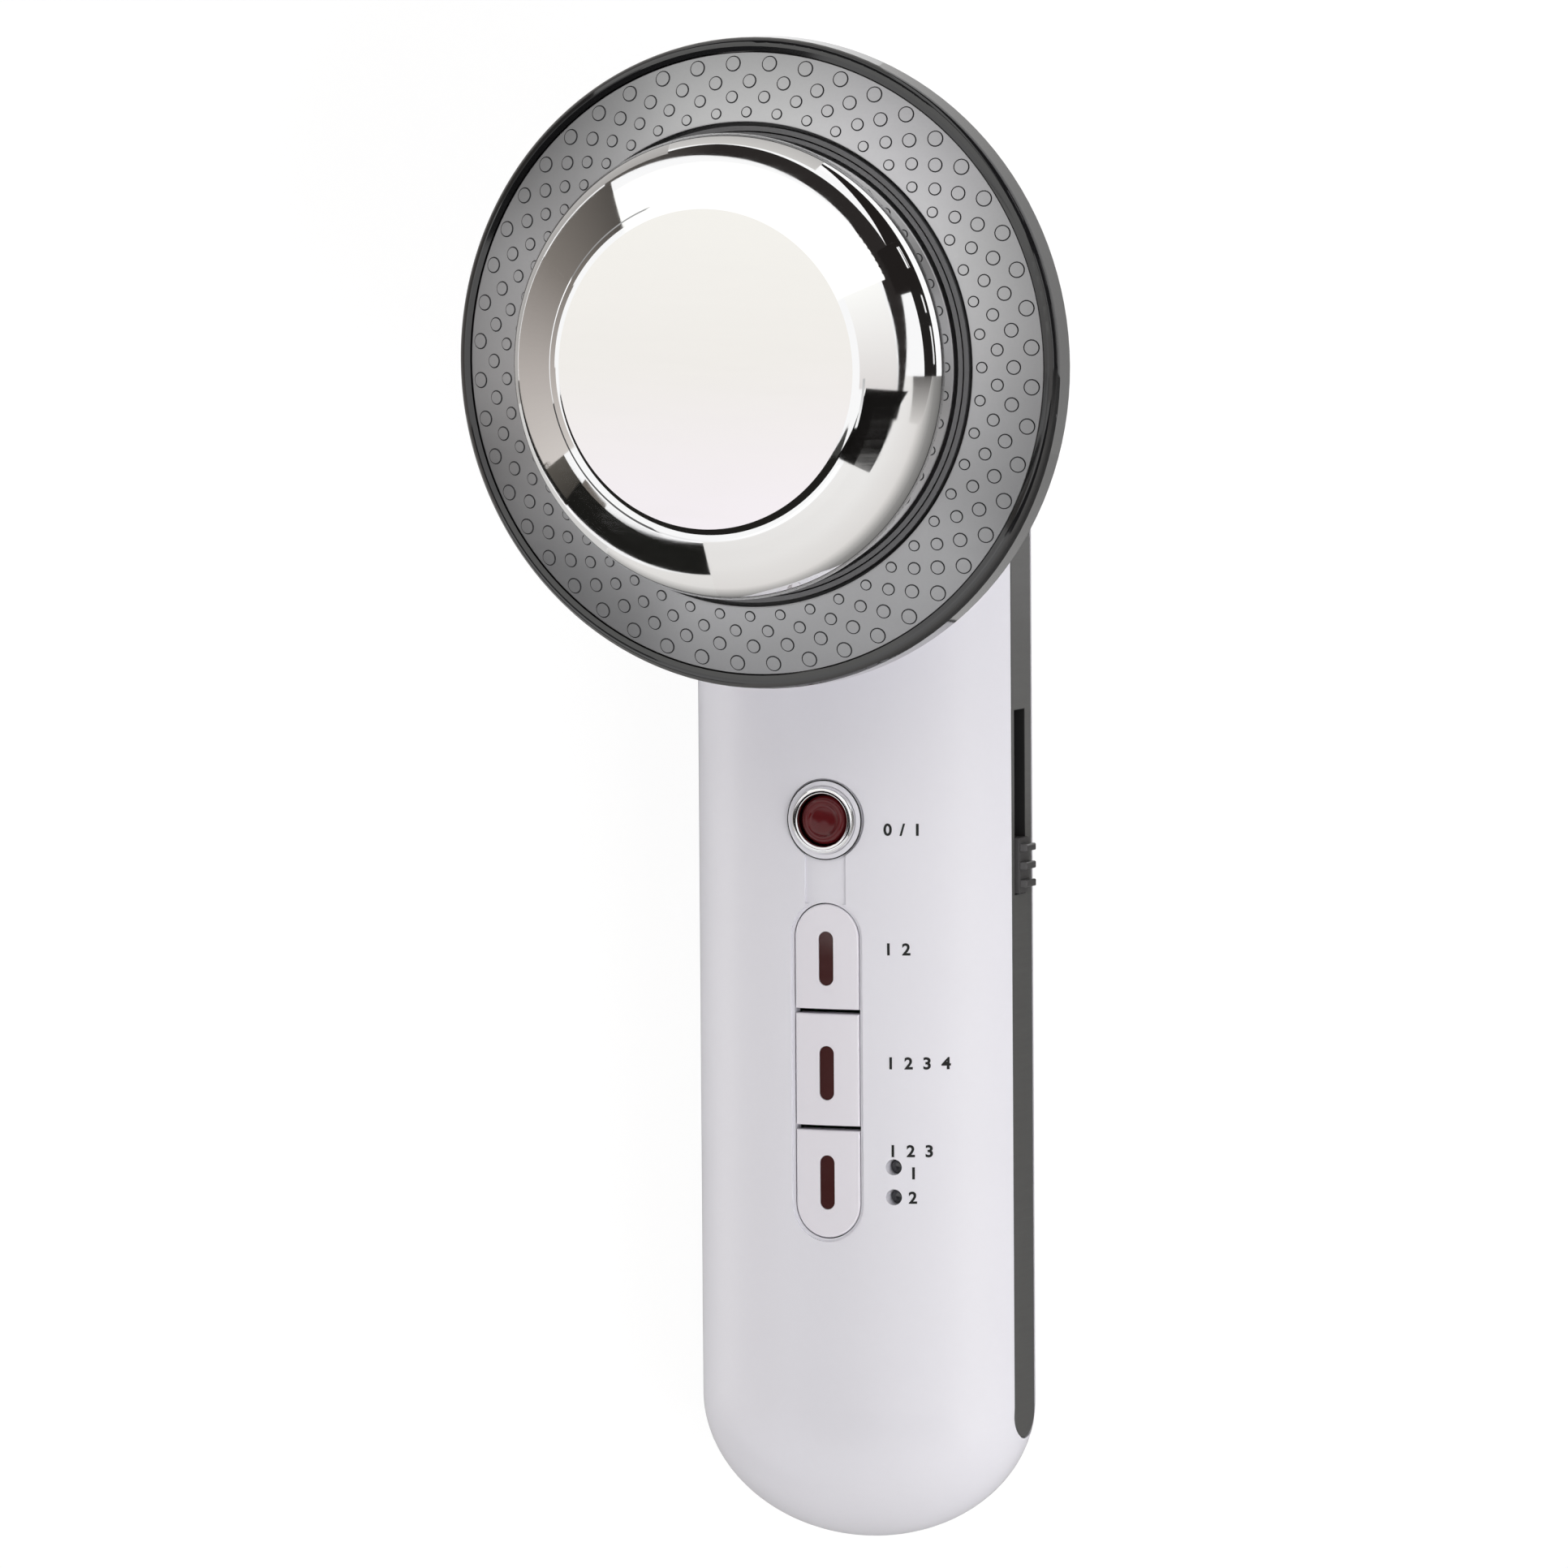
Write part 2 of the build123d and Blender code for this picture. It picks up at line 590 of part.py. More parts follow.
with BuildPart() as capacitors:
    with Locations(*CAPACITORS):
        drum(CAPACITOR_R, CAPACITOR_LOW, BOARD_LOW)
    fillet(capacitors.edges().group_by(Axis.Z)[0], CAPACITOR_EDGE)
save(capacitors, "capacitors")

with BuildPart() as choke:
    with Locations((0, CHOKE_Y)):
        drum(CHOKE_R, CHOKE_LOW, BOARD_LOW)
        drum(CHOKE_BORE, CHOKE_LOW, BOARD_LOW - CHOKE_SEAT, Mode.SUBTRACT)
save(choke, "choke")

with BuildPart() as heat_sink:
    with Locations((0, SINK_Y, BOARD_TOP)):
        Box(SINK_W, SINK_L, SINK_BASE, align=BOTTOM_UP)
        with GridLocations(FIN_PITCH, 1, FIN_COUNT, 1):
            Box(FIN_T, SINK_L, SINK_H, align=BOTTOM_UP)
save(heat_sink, "heat_sink")

# ================================================================ power inlet
# A barrel socket whose nose is trimmed to the rounded tail, with a pin in its bore.
with BuildPart() as dc_jack:
    with BuildSketch(Plane.XZ.offset(-TAIL_Y)):
        with Locations((0, JACK_Z)):
            Circle(JACK_R)
    extrude(amount=-JACK_NOSE)
    add(outer.part, mode=Mode.INTERSECT)
    with Locations((0, JACK_BODY_Y, JACK_Z)):
        Box(*JACK_BODY)
    with BuildSketch(Plane.XZ.offset(-TAIL_Y)):
        with Locations((0, JACK_Z)):
            Circle(JACK_BORE)
    extrude(amount=-JACK_FLOOR, mode=Mode.SUBTRACT)
save(dc_jack, "dc_jack")

with BuildPart() as dc_pin:
    with BuildSketch(Plane.XZ.offset(-TAIL_Y - PIN_TIP)):
        with Locations((0, JACK_Z)):
            Circle(PIN_R)
    extrude(amount=PIN_TIP - JACK_FLOOR)
    fillet(dc_pin.edges().sort_by(Axis.Y)[0], PIN_EDGE)
save(dc_pin, "dc_pin")

# ================================================================ head
with BuildPart() as head_cup:
    throat = (COLLAR_R - CUP_WALL, COLLAR_TOP + FLOOR_T)
    ledge = (SHELF_R, SHELF - SHELF_DROP)
    with BuildSketch(HEAD_PLANE):
        with BuildLine():
            Line((LEAD_HOLE_R, COLLAR_TOP), (COLLAR_R, COLLAR_TOP))
            RadiusArc((COLLAR_R, COLLAR_TOP), (CUP_FLARE_R, CUP_BACK), FLARE_ARC)
            Polyline(
                (CUP_FLARE_R, CUP_BACK),
                (CUP_R, CUP_BACK),
                (CUP_R, SHELF),
                (SHELF_R, SHELF),
                ledge,
            )
            RadiusArc(ledge, throat, -FLARE_ARC)
            Polyline(throat, (LEAD_HOLE_R, COLLAR_TOP + FLOOR_T), (LEAD_HOLE_R, COLLAR_TOP))
        make_face()
    revolve(axis=HEAD_AXIS)
    with Locations((0, HEAD_Y)):
        with GridLocations(HEAD_SCREW_PITCH, HEAD_SCREW_PITCH, 2, 2):
            drum(HEAD_HOLE_R, COLLAR_TOP, COLLAR_TOP + FLOOR_T, Mode.SUBTRACT)
save(head_cup, "head_cup")

with BuildPart() as bezel_ring:
    inner_low = CUP_R + BEZEL_GAP
    inner_high = COVER_R + BEZEL_GAP
    foot = CUP_BACK + BEZEL_GAP
    wall_top = (BEZEL_R - BEZEL_DRAFT, RIM_Z - 0.9)
    bend = (BEZEL_R - 0.5, RIM_Z - 0.05)
    crest = (BEZEL_CREST_R, RIM_Z + BEZEL_CREST)
    with BuildSketch(HEAD_PLANE):
        with BuildLine():
            Polyline(
                (inner_low, foot),
                (BEZEL_FOOT_R, foot),
                (BEZEL_R, foot + BEZEL_FOOT),
                wall_top,
            )
            ThreePointArc(wall_top, bend, crest)
            Polyline(
                crest,
                (inner_high, RIM_Z + BEZEL_CREST / 2),
                (inner_high, SHELF),
                (inner_low, SHELF),
                (inner_low, foot),
            )
        make_face()
    revolve(axis=HEAD_AXIS)
save(bezel_ring, "bezel_ring")

with BuildPart() as window_cover:
    skirt_r = COVER_R - COVER_T
    skirt_rise = COVER_RISE * COVER_T / (COVER_R - COVER_BORE)
    with BuildSketch(HEAD_PLANE):
        with BuildLine():
            Polyline(
                (COVER_BORE, RIM_Z + COVER_RISE),
                (COVER_R, RIM_Z),
                (COVER_R, SHELF),
                (skirt_r, SHELF),
                (skirt_r, RIM_Z - COVER_T + skirt_rise),
                (COVER_BORE, RIM_Z + COVER_RISE - COVER_T),
                (COVER_BORE, RIM_Z + COVER_RISE),
            )
        make_face()
    revolve(axis=HEAD_AXIS)
save(window_cover, "window_cover")

with BuildPart() as treatment_cap:
    with BuildSketch(HEAD_PLANE) as cap_profile:
        with BuildLine():
            Polyline(
                (0, CAP_TOP),
                (CAP_FACE_R, CAP_TOP),
                (CAP_SHOULDER_R, CAP_SHOULDER),
                (CAP_R, CAP_LIP),
                (CAP_R, FLANGE_TOP),
                (FLANGE_R, FLANGE_TOP),
                (FLANGE_R, FLANGE_LOW),
                (CAP_INNER_R, FLANGE_LOW),
                (CAP_INNER_R, CAP_LIP - 0.7),
                (CAP_FACE_R - 0.3, CAP_TOP - CAP_T),
                (0, CAP_TOP - CAP_T),
                (0, CAP_TOP),
            )
        make_face()
        fillet(cap_profile.vertices().sort_by_distance((CAP_R, CAP_LIP))[0], CAP_LIP_EDGE)
        shoulder_corner = cap_profile.vertices().sort_by_distance((CAP_SHOULDER_R, CAP_SHOULDER))[0]
        fillet(shoulder_corner, CAP_SHOULDER_EDGE)
        fillet(cap_profile.vertices().sort_by_distance((CAP_FACE_R, CAP_TOP))[0], CAP_FACE_EDGE)
    revolve(axis=HEAD_AXIS)
save(treatment_cap, "treatment_cap")

with BuildPart() as cap_gasket:
    gasket_in = CAP_R + GASKET_GAP
    gasket_out = gasket_in + GASKET_T
    with BuildSketch(HEAD_PLANE):
        with BuildLine():
            Polyline(
                (gasket_in, FLANGE_TOP),
                (FLANGE_R, FLANGE_TOP),
                (FLANGE_R, FLANGE_TOP + GASKET_FOOT),
                (gasket_out, FLANGE_TOP + GASKET_FOOT),
                (gasket_out, GASKET_TOP),
                (gasket_in, GASKET_TOP),
                (gasket_in, FLANGE_TOP),
            )
        make_face()
    revolve(axis=HEAD_AXIS)
save(cap_gasket, "cap_gasket")

with BuildPart() as seal_ring:
    with Locations((0, HEAD_Y)):
        drum(SEAL_R, LAMP_BOARD_TOP, FLANGE_LOW)
        drum(CAP_INNER_R, LAMP_BOARD_TOP, FLANGE_LOW, Mode.SUBTRACT)
save(seal_ring, "seal_ring")

with BuildPart() as lamp_board:
    with Locations((0, HEAD_Y)):
        drum(LAMP_BOARD_R, SHELF, LAMP_BOARD_TOP)
        drum(LAMP_BOARD_BORE, SHELF, LAMP_BOARD_TOP, Mode.SUBTRACT)
save(lamp_board, "lamp_board")

with BuildPart() as infrared_lamps:
    with Locations((0, HEAD_Y, LAMP_BOARD_TOP)):
        with PolarLocations(LAMP_RING_R, LAMP_COUNT):
            Box(*LAMP_CHIP, align=BOTTOM_UP)
save(infrared_lamps, "infrared_lamps")

with BuildPart() as transducer:
    with Locations((0, HEAD_Y)):
        drum(DISC_R, CAP_TOP - CAP_T - DISC_T, CAP_TOP - CAP_T)
save(transducer, "transducer")

# ================================================================ leads
disc_back = CAP_TOP - CAP_T - DISC_T
disc_wires = [
    lead([(x, BOARD_Y1, LEAD_Z), (x, HEAD_Y, LEAD_Z), (x, HEAD_Y, disc_back)], DISC_LEAD_R, DISC_LEAD_BEND)
    for x in DISC_LEADS_X
]
with BuildPart() as transducer_leads:
    add(disc_wires)
save(transducer_leads, "transducer_leads")

lamp_wires = []
for x, y in LAMP_LEADS:
    climb_y = HEAD_Y + y
    pad_z = (SHELF + LAMP_BOARD_TOP) / 2
    route = [
        (x, BOARD_Y1, LEAD_Z),
        (x, climb_y, LEAD_Z),
        (x, climb_y, pad_z),
        (-LAMP_LEAD_TIP, climb_y, pad_z),
    ]
    lamp_wires.append(lead(route, LAMP_LEAD_R, LAMP_LEAD_BEND))
with BuildPart() as lamp_leads:
    add(lamp_wires)
save(lamp_leads, "lamp_leads")

# ================================================================ screws
with BuildPart() as case_screws:
    head_low = CASE_SEAT - CASE_HEAD_H
    with Locations(*CASE_SCREWS):
        screws(CASE_HEAD_R, CASE_SHANK_R, CASE_SEAT, head_low, CASE_TIP)
    with Locations(*[(x, y, head_low) for x, y in CASE_SCREWS]):
        Box(CROSS_L, CROSS_W, CROSS_DEPTH, align=BOTTOM_UP, mode=Mode.SUBTRACT)
        Box(CROSS_W, CROSS_L, CROSS_DEPTH, align=BOTTOM_UP, mode=Mode.SUBTRACT)
save(case_screws, "case_screws")

with BuildPart() as board_screws:
    with Locations(*BOARD_SCREWS):
        screws(BOARD_HEAD_R, BOARD_SHANK_R, BOARD_LOW, BOARD_LOW - BOARD_HEAD_H, BOARD_TIP)
save(board_screws, "board_screws")

with BuildPart() as head_screws:
    head_floor = COLLAR_TOP + FLOOR_T
    with Locations((0, HEAD_Y)):
        with GridLocations(HEAD_SCREW_PITCH, HEAD_SCREW_PITCH, 2, 2):
            screws(HEAD_HEAD_R, HEAD_SHANK_R, head_floor, head_floor + HEAD_HEAD_H, HEAD_TIP)
save(head_screws, "head_screws")
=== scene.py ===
# %% [markdown]
# # A facial toning device in white plastic and polished metal
# The device is a slim wand with a round head. A fine vibration leaves the head through a
# mirror-polished cap, and warm light leaves it through the silvered ring round the cap. Three keys,
# a slide and a red power button sit on the wand. The shape and the moving parts come from a packed
# frame. This lesson dresses them: it lights a small studio, spins the shiny parts of the head, and
# gives every surface its own finish.

# %% Load the frame
import bpy, bmesh
from math import atan, cos, degrees, pi, radians, sin
from mathutils import Matrix, Vector


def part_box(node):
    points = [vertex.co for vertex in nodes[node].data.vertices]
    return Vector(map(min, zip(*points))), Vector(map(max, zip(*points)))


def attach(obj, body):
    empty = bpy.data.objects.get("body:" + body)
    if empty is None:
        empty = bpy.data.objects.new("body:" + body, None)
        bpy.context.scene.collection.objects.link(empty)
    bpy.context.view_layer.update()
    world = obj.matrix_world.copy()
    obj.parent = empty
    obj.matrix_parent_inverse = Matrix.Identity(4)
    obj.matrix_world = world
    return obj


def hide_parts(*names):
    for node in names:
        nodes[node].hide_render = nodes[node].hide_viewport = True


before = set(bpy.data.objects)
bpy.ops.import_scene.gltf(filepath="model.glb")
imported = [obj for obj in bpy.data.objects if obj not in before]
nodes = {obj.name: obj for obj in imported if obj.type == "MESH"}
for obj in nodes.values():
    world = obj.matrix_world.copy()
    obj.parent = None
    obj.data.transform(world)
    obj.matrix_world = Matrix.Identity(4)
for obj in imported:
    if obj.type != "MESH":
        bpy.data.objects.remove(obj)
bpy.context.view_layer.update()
MM = 0.001
UP = Vector((0, 0, 1))


def in_mm(corners):
    """The corners of a box in millimetres, for printing."""
    return [[round(c / MM, 2) for c in corner] for corner in corners]


print("nodes in the frame:", len(nodes))

# %% [markdown]
# ## The camera
# A product camera stands well back with a long lens, so that the round head stays round. The wand
# lies on its back here, so the camera hangs above it, turned a little towards its right side. The
# place of the camera follows from one point of the head, the middle of its rim, and from the pixel
# of the render on which that point falls.

# %% Place the camera
HEAD = Vector((0.0, 55.15, 0.0)) * MM
RIM_TOP = 47.05
RIM = HEAD + UP * RIM_TOP * MM
RIM_PIXEL = (930, 448.3)
FRAME_WIDTH = 1932
LENS_PIXELS = 14925
SENSOR = 36
DISTANCE = 1.5
turn, lift, roll = radians(23.2), radians(4.6), radians(0.4)

back = Vector((sin(turn) * cos(lift), sin(lift), cos(turn) * cos(lift)))
level = Vector((cos(turn), 0, -sin(turn)))
above = back.cross(level)
side = level * cos(roll) - above * sin(roll)
top = level * sin(roll) + above * cos(roll)
across = (RIM_PIXEL[0] - FRAME_WIDTH / 2) / LENS_PIXELS * DISTANCE
along = (FRAME_WIDTH / 2 - RIM_PIXEL[1]) / LENS_PIXELS * DISTANCE

lens = bpy.data.cameras.new("product_camera")
lens.sensor_width = SENSOR
lens.lens = SENSOR * LENS_PIXELS / FRAME_WIDTH
lens.clip_end = 20
camera = bpy.data.objects.new("product_camera", lens)
bpy.context.scene.collection.objects.link(camera)
place = Matrix((side, top, back)).transposed().to_4x4()
place.translation = RIM + back * DISTANCE - side * across - top * along
camera.matrix_world = place
bpy.context.scene.camera = camera
bpy.context.scene.view_settings.view_transform = "Standard"
print("lens in mm:", round(lens.lens, 1), "camera at", [round(c, 3) for c in place.translation])

# %% [markdown]
# ## Small helpers for node trees
# Every finish below is a node tree. Short helpers keep the lesson readable: one turns a colour
# from a paint chart (0 to 255) into the linear numbers that a shader works with, one adds a node
# and sets its sockets by name, and one starts an empty tree.

# %% Define the node helpers
def linear(*chart):
    """A colour as a paint chart gives it, 0 to 255, in the linear values of a shader."""
    part = [c / 255 for c in chart]
    part = [c / 12.92 if c <= 0.04045 else ((c + 0.055) / 1.055) ** 2.4 for c in part]
    return (*part, 1.0)


def add(tree, kind, settings=None, **sockets):
    """A new node in the tree, with its settings and the values or links of its inputs. An input
    is given by its name, or as _0, _1 and so on by its number."""
    node = tree.nodes.new(kind)
    for name, value in (settings or {}).items():
        setattr(node, name, value)
    for name, value in sockets.items():
        numbered = name[1:].isdigit()
        socket = node.inputs[int(name[1:]) if numbered else name.replace("_", " ")]
        if isinstance(value, bpy.types.NodeSocket):
            tree.links.new(value, socket)
        else:
            socket.default_value = value
    return node


def new_tree(owner):
    """An empty node tree on a material or a world."""
    owner.use_nodes = True
    owner.node_tree.nodes.clear()
    return owner.node_tree


print("mid grey 128 is", round(linear(128)[0], 3), "as a linear value")

# %% [markdown]
# ## Floor and daylight
# The device is shown on a plain white sweep. A white world gives the soft light of a light tent.
# The floor is a plain diffuse white that keeps the soft shadow under the device, and it is lifted
# towards pure white for the camera and for reflections only, so that no extra light is needed.

# %% Make the world
DAYLIGHT = 0.5


def seen_straight(tree):
    """A value that is 1 for what the camera, a mirror or a glass sees, and 0 for spread light."""
    path = add(tree, "ShaderNodeLightPath")
    seen = path.outputs["Is Camera Ray"]
    for ray in ("Is Glossy Ray", "Is Transmission Ray"):
        either = add(tree, "ShaderNodeMath", {"operation": "MAXIMUM"}, _0=seen, _1=path.outputs[ray])
        seen = either.outputs[0]
    return seen


world = bpy.data.worlds.new("light_tent")
bpy.context.scene.world = world
tree = new_tree(world)
soft = add(tree, "ShaderNodeBackground", Color=linear(255, 253, 251), Strength=DAYLIGHT)
white = add(tree, "ShaderNodeBackground", Color=(1, 1, 1, 1), Strength=1.0)
mixed = add(tree, "ShaderNodeMixShader", _0=seen_straight(tree), _1=soft.outputs[0], _2=white.outputs[0])
add(tree, "ShaderNodeOutputWorld", Surface=mixed.outputs[0])
print("daylight of the tent:", DAYLIGHT)

# %% Lay the floor
FLOOR_HALF, FLOOR_DROP = 2.5, 0.05
FLOOR_LIFT = 0.8


def show(bm, name, finish):
    """Turns a finished bmesh into a smooth-shaded object at the origin."""
    mesh = bpy.data.meshes.new(name)
    bm.to_mesh(mesh)
    bm.free()
    mesh.shade_smooth()
    mesh.materials.append(finish)
    piece = bpy.data.objects.new(name, mesh)
    bpy.context.scene.collection.objects.link(piece)
    print(name, "has", len(mesh.polygons), "faces")
    return piece


floor_finish = bpy.data.materials.new("white_sweep")
tree = new_tree(floor_finish)
share = add(tree, "ShaderNodeMath", {"operation": "MULTIPLY"}, _0=seen_straight(tree), _1=FLOOR_LIFT)
paper = add(tree, "ShaderNodeBsdfDiffuse", Color=(0.9, 0.9, 0.9, 1))
glow = add(tree, "ShaderNodeEmission", Color=(1, 1, 1, 1), Strength=1.1)
mixed = add(tree, "ShaderNodeMixShader", _0=share.outputs[0], _1=paper.outputs[0], _2=glow.outputs[0])
add(tree, "ShaderNodeOutputMaterial", Surface=mixed.outputs[0])

bm = bmesh.new()
bmesh.ops.create_grid(bm, x_segments=1, y_segments=1, size=FLOOR_HALF)
bmesh.ops.translate(bm, verts=bm.verts, vec=(0, 0, -FLOOR_DROP * MM))
floor = show(bm, "floor", floor_finish)

# %% [markdown]
# ## Lamps
# Three large, weak lamps add direction to the light of the tent. The one on the right models the
# front of the wand from left to right, the one on the left draws a soft line of light down its
# left side, and the one above lifts the upper end. They are kept out of reflections, because the
# cards in the next step decide what the metal mirrors.

# %% Hang the lamps
LAMP_AIM = Vector((0, 0.02, 0.02))


def lamp(name, spot, size, watts, tint=(1, 1, 1)):
    """A square soft lamp that faces the middle of the device."""
    light = bpy.data.lights.new(name, "AREA")
    light.size, light.energy, light.color = size, watts, tint
    lit = bpy.data.objects.new(name, light)
    lit.location = spot
    lit.rotation_euler = (LAMP_AIM - lit.location).to_track_quat("-Z", "Y").to_euler()
    lit.visible_glossy = False
    lit.visible_camera = False
    bpy.context.scene.collection.objects.link(lit)
    print(name, watts, "W, size", size, "m")


lamp("right_lamp", (1.0, -0.35, 0.7), size=0.7, watts=8.0)
lamp("left_lamp", (-1.25, -0.1, 0.22), size=0.4, watts=5.5)
lamp("upper_lamp", (0.45, 0.9, 1.0), size=0.8, watts=2.5, tint=(1.0, 0.985, 0.97))

# %% [markdown]
# ## Cards for the mirror
# Polished metal has hardly any colour of its own: it shows the studio round it. Photographers
# place black and grey cards round such a piece, so that its edges read against a white ground.
# Here each card is a curved patch on a large ball round the head, seen only in reflections. A card
# is laid where the cap should show it: a place on the cap is a clock angle round it and the tilt
# of its skin, 0 on the flat face, 32 on the cone, 37 on the shoulder and 90 at the foot. From the
# camera's line to that place, the law of the mirror gives the place on the ball.

# %% Work out where the cap looks
CAP_TOP = 62.55
FACE_EDGE = (20.6, 62.4)
CONE_TILT, CONE_TOP = 31.6, (22.0, 61.6)
SHOULDER_TILT, CONE_FOOT = 37.1, (27.2, 58.2)
ROUND_MIDDLE, ROUND_SIZE = (24.8, 55.0), 4.0
BALL, NEAR_BALL = 6.0, 5.0
FLOOR_ROOM, ROOM_PER_METRE = 0.1, 12


def between(pair, share):
    """The value at this share of the way from the first number of a pair to the second."""
    return pair[0] + (pair[1] - pair[0]) * share


def cap_skin(tilt):
    """Radius and height on the cap, in mm, of the ring with this tilt in degrees."""
    if tilt < CONE_TILT:
        return FACE_EDGE
    if tilt <= SHOULDER_TILT:
        share = (tilt - CONE_TILT) / (SHOULDER_TILT - CONE_TILT)
        return [between(pair, share) for pair in zip(CONE_TOP, CONE_FOOT)]
    t = radians(tilt)
    return ROUND_MIDDLE[0] + ROUND_SIZE * sin(t), ROUND_MIDDLE[1] + ROUND_SIZE * cos(t)


def on_head(clock, radius, height):
    """A place on the head: its clock angle in degrees, and its radius and height in mm."""
    c = radians(clock)
    return HEAD + Vector((radius * cos(c), radius * sin(c), height)) * MM


def leaning(clock, tilt):
    """The direction that a skin faces where it leans outward by this tilt at this clock angle."""
    c, t = radians(clock), radians(tilt)
    return Vector((sin(t) * cos(c), sin(t) * sin(c), cos(t)))


def glance(spot, normal):
    """The way that the camera's line takes from this spot, where a mirror faces along normal."""
    sight = (camera.matrix_world.translation - spot).normalized()
    return normal * (2 * normal.dot(sight)) - sight


def mirrored(clock, tilt, ball):
    """The point on the ball, or just over the floor, that the cap mirrors to the camera. A card
    on a smaller ball stays further over the floor, so that it hides the ones behind it."""
    spot = on_head(clock, *cap_skin(tilt))
    way = glance(spot, leaning(clock, tilt))
    start = spot - RIM
    half = start.dot(way)
    length = -half + (half * half - start.length_squared + ball * ball) ** 0.5
    if way.z < 0:
        room = (FLOOR_ROOM + ROOM_PER_METRE * (BALL - ball)) * MM
        length = min(length, (spot.z - room) / -way.z)
    return spot + way * length


print("the cone's right side mirrors the point", [round(c, 2) for c in mirrored(0, CONE_TILT, BALL)])

# %% Define how a card is made
CARD_STEP, CARD_ROWS = 2, 10


def card_paint(name, chart, far, fade, strength):
    """A card's paint: one tone, or a change between two tones along its clock or its tilt."""
    paint = bpy.data.materials.new(name)
    tree = new_tree(paint)
    glow = add(tree, "ShaderNodeEmission", Color=linear(*chart), Strength=strength)
    if far:
        spread = add(tree, "ShaderNodeUVMap", {"uv_map": "card"})
        split = add(tree, "ShaderNodeSeparateXYZ", Vector=spread.outputs[0])
        share = split.outputs["X" if fade == "clock" else "Y"]
        change = add(tree, "ShaderNodeMix", {"data_type": "RGBA"}, Factor=share,
                     _6=linear(*chart), _7=linear(*far))
        tree.links.new(change.outputs[2], glow.inputs["Color"])
    add(tree, "ShaderNodeOutputMaterial", Surface=glow.outputs[0])
    return paint


def hang(bm, name, paint):
    """Shows a bmesh in reflections only, as a part of the studio."""
    piece = show(bm, name, paint)
    piece.visible_camera = piece.visible_diffuse = piece.visible_shadow = False
    piece.visible_transmission = piece.visible_volume_scatter = False


def curved_card(name, columns, rows, place, paint):
    """A grid that place(x, y) bends into shape, with x and y from 0 to 1 across it."""
    bm = bmesh.new()
    uv = bm.loops.layers.uv.new("card")
    bmesh.ops.create_grid(bm, x_segments=columns, y_segments=rows, size=0.5)
    for face in bm.faces:
        for loop in face.loops:
            loop[uv].uv = (loop.vert.co.x + 0.5, loop.vert.co.y + 0.5)
    for v in bm.verts:
        v.co = place(v.co.x + 0.5, v.co.y + 0.5)
    hang(bm, name, paint)


def card(name, clocks, tilts, chart, far=None, fade="clock", ball=BALL, strength=1.0):
    """A card that the cap shows between two clock angles and two tilts, in degrees. Four tilts
    give the two at the first clock angle and the two at the second, for a card that tapers."""
    def place(x, y):
        low, high = between((tilts[0], tilts[-2]), x), between((tilts[1], tilts[-1]), x)
        return mirrored(between(clocks, x), between((low, high), y), ball)

    columns = max(2, int(abs(clocks[1] - clocks[0]) / CARD_STEP))
    curved_card(name, columns, CARD_ROWS, place, card_paint(name, chart, far, fade, strength))


print("a card has", CARD_ROWS, "rows and a column for every", CARD_STEP, "degrees")

# %% Cut the cards of the left side
WARM_GREY, BEIGE = (128, 122, 116), (180, 173, 168)
card("card_left_dark", (122, 150), (14, 36.6), (84, 80, 76), WARM_GREY)
card("card_left_warm", (150, 180), (12, 36.8), WARM_GREY, BEIGE)
card("card_left_beige", (180, 209), (10, 36.8), BEIGE, (210, 204, 199))
card("card_left_end", (207.5, 220), (31.9, 36.6, 31.7, 36.6), (92, 88, 82), (62, 59, 55))
card("card_left_point", (220, 231), (31.2, 32.2, 31.4, 32.1), (112, 106, 100))
card("card_left_black", (219, 268.3), (32.0, 36.2, 31.2, 34.5), (27, 27, 25), ball=NEAR_BALL)
card("card_left_line", (184, 223), (36.8, 38.4, 35.2, 36.0), (24, 23, 22), ball=NEAR_BALL)
card("card_left_band", (104, 190), (37, 95), (172, 169, 166), (206, 204, 202), fade="tilt")

# %% Cut the cards of the lower side
CONE_FOOT_GREY = (224, 221, 218)
card("card_low_left_band", (190, 236), (38.2, 95, 36.4, 95), (216, 215, 213), (196, 195, 193),
     fade="tilt")
card("card_low_left_shoulder", (236, 268.3), (36.4, 60, 34.4, 60), (232, 230, 227), (160, 159, 157),
     fade="tilt")
card("card_low_light", (268.3, 358.5), (26, 37.5, 33.4, 37.5), (244, 243, 241), CONE_FOOT_GREY,
     fade="tilt")
card("card_low_shoulder", (268.3, 358.5), (37.5, 60), CONE_FOOT_GREY, (150, 149, 147), fade="tilt")
card("card_right_smudge", (346, 358.5), (35.6, 44, 35.4, 56), (212, 209, 206), (100, 98, 96),
     ball=NEAR_BALL)
card("card_low_lip", (236, 358.5), (60, 82), (146, 145, 143), (96, 95, 93), fade="tilt")
card("card_low_foot", (225, 346), (82, 93), (214, 213, 212))

# %% Cut the cards of the right side
BLACK, WHITE, SLIT_WHITE = (19, 18, 17), (255, 255, 252), (240, 240, 240)
card("card_right_black", (329, 348), (14, 32.4, 22, 33.3), BLACK, ball=NEAR_BALL)
card("card_right_corner", (348, 354.4), (22, 33.3, 30, 34.9), BLACK, ball=NEAR_BALL)
card("card_right_edge", (329, 340), (1, 16, 9, 12), (66, 66, 64))
card("card_right_light", (354, 388), (16, 33), (222, 218, 216), WHITE, strength=1.04)
card("card_outer_dark", (-1.5, 21), (41, 64), (36, 34, 33))
card("card_outer_slit", (1.5, 11), (58.5, 61), SLIT_WHITE, ball=NEAR_BALL)
card("card_outer_spark", (14.5, 19), (56.5, 59.5), SLIT_WHITE, ball=NEAR_BALL)
card("card_right_foot", (-14, 62), (82, 93), (222, 221, 220))

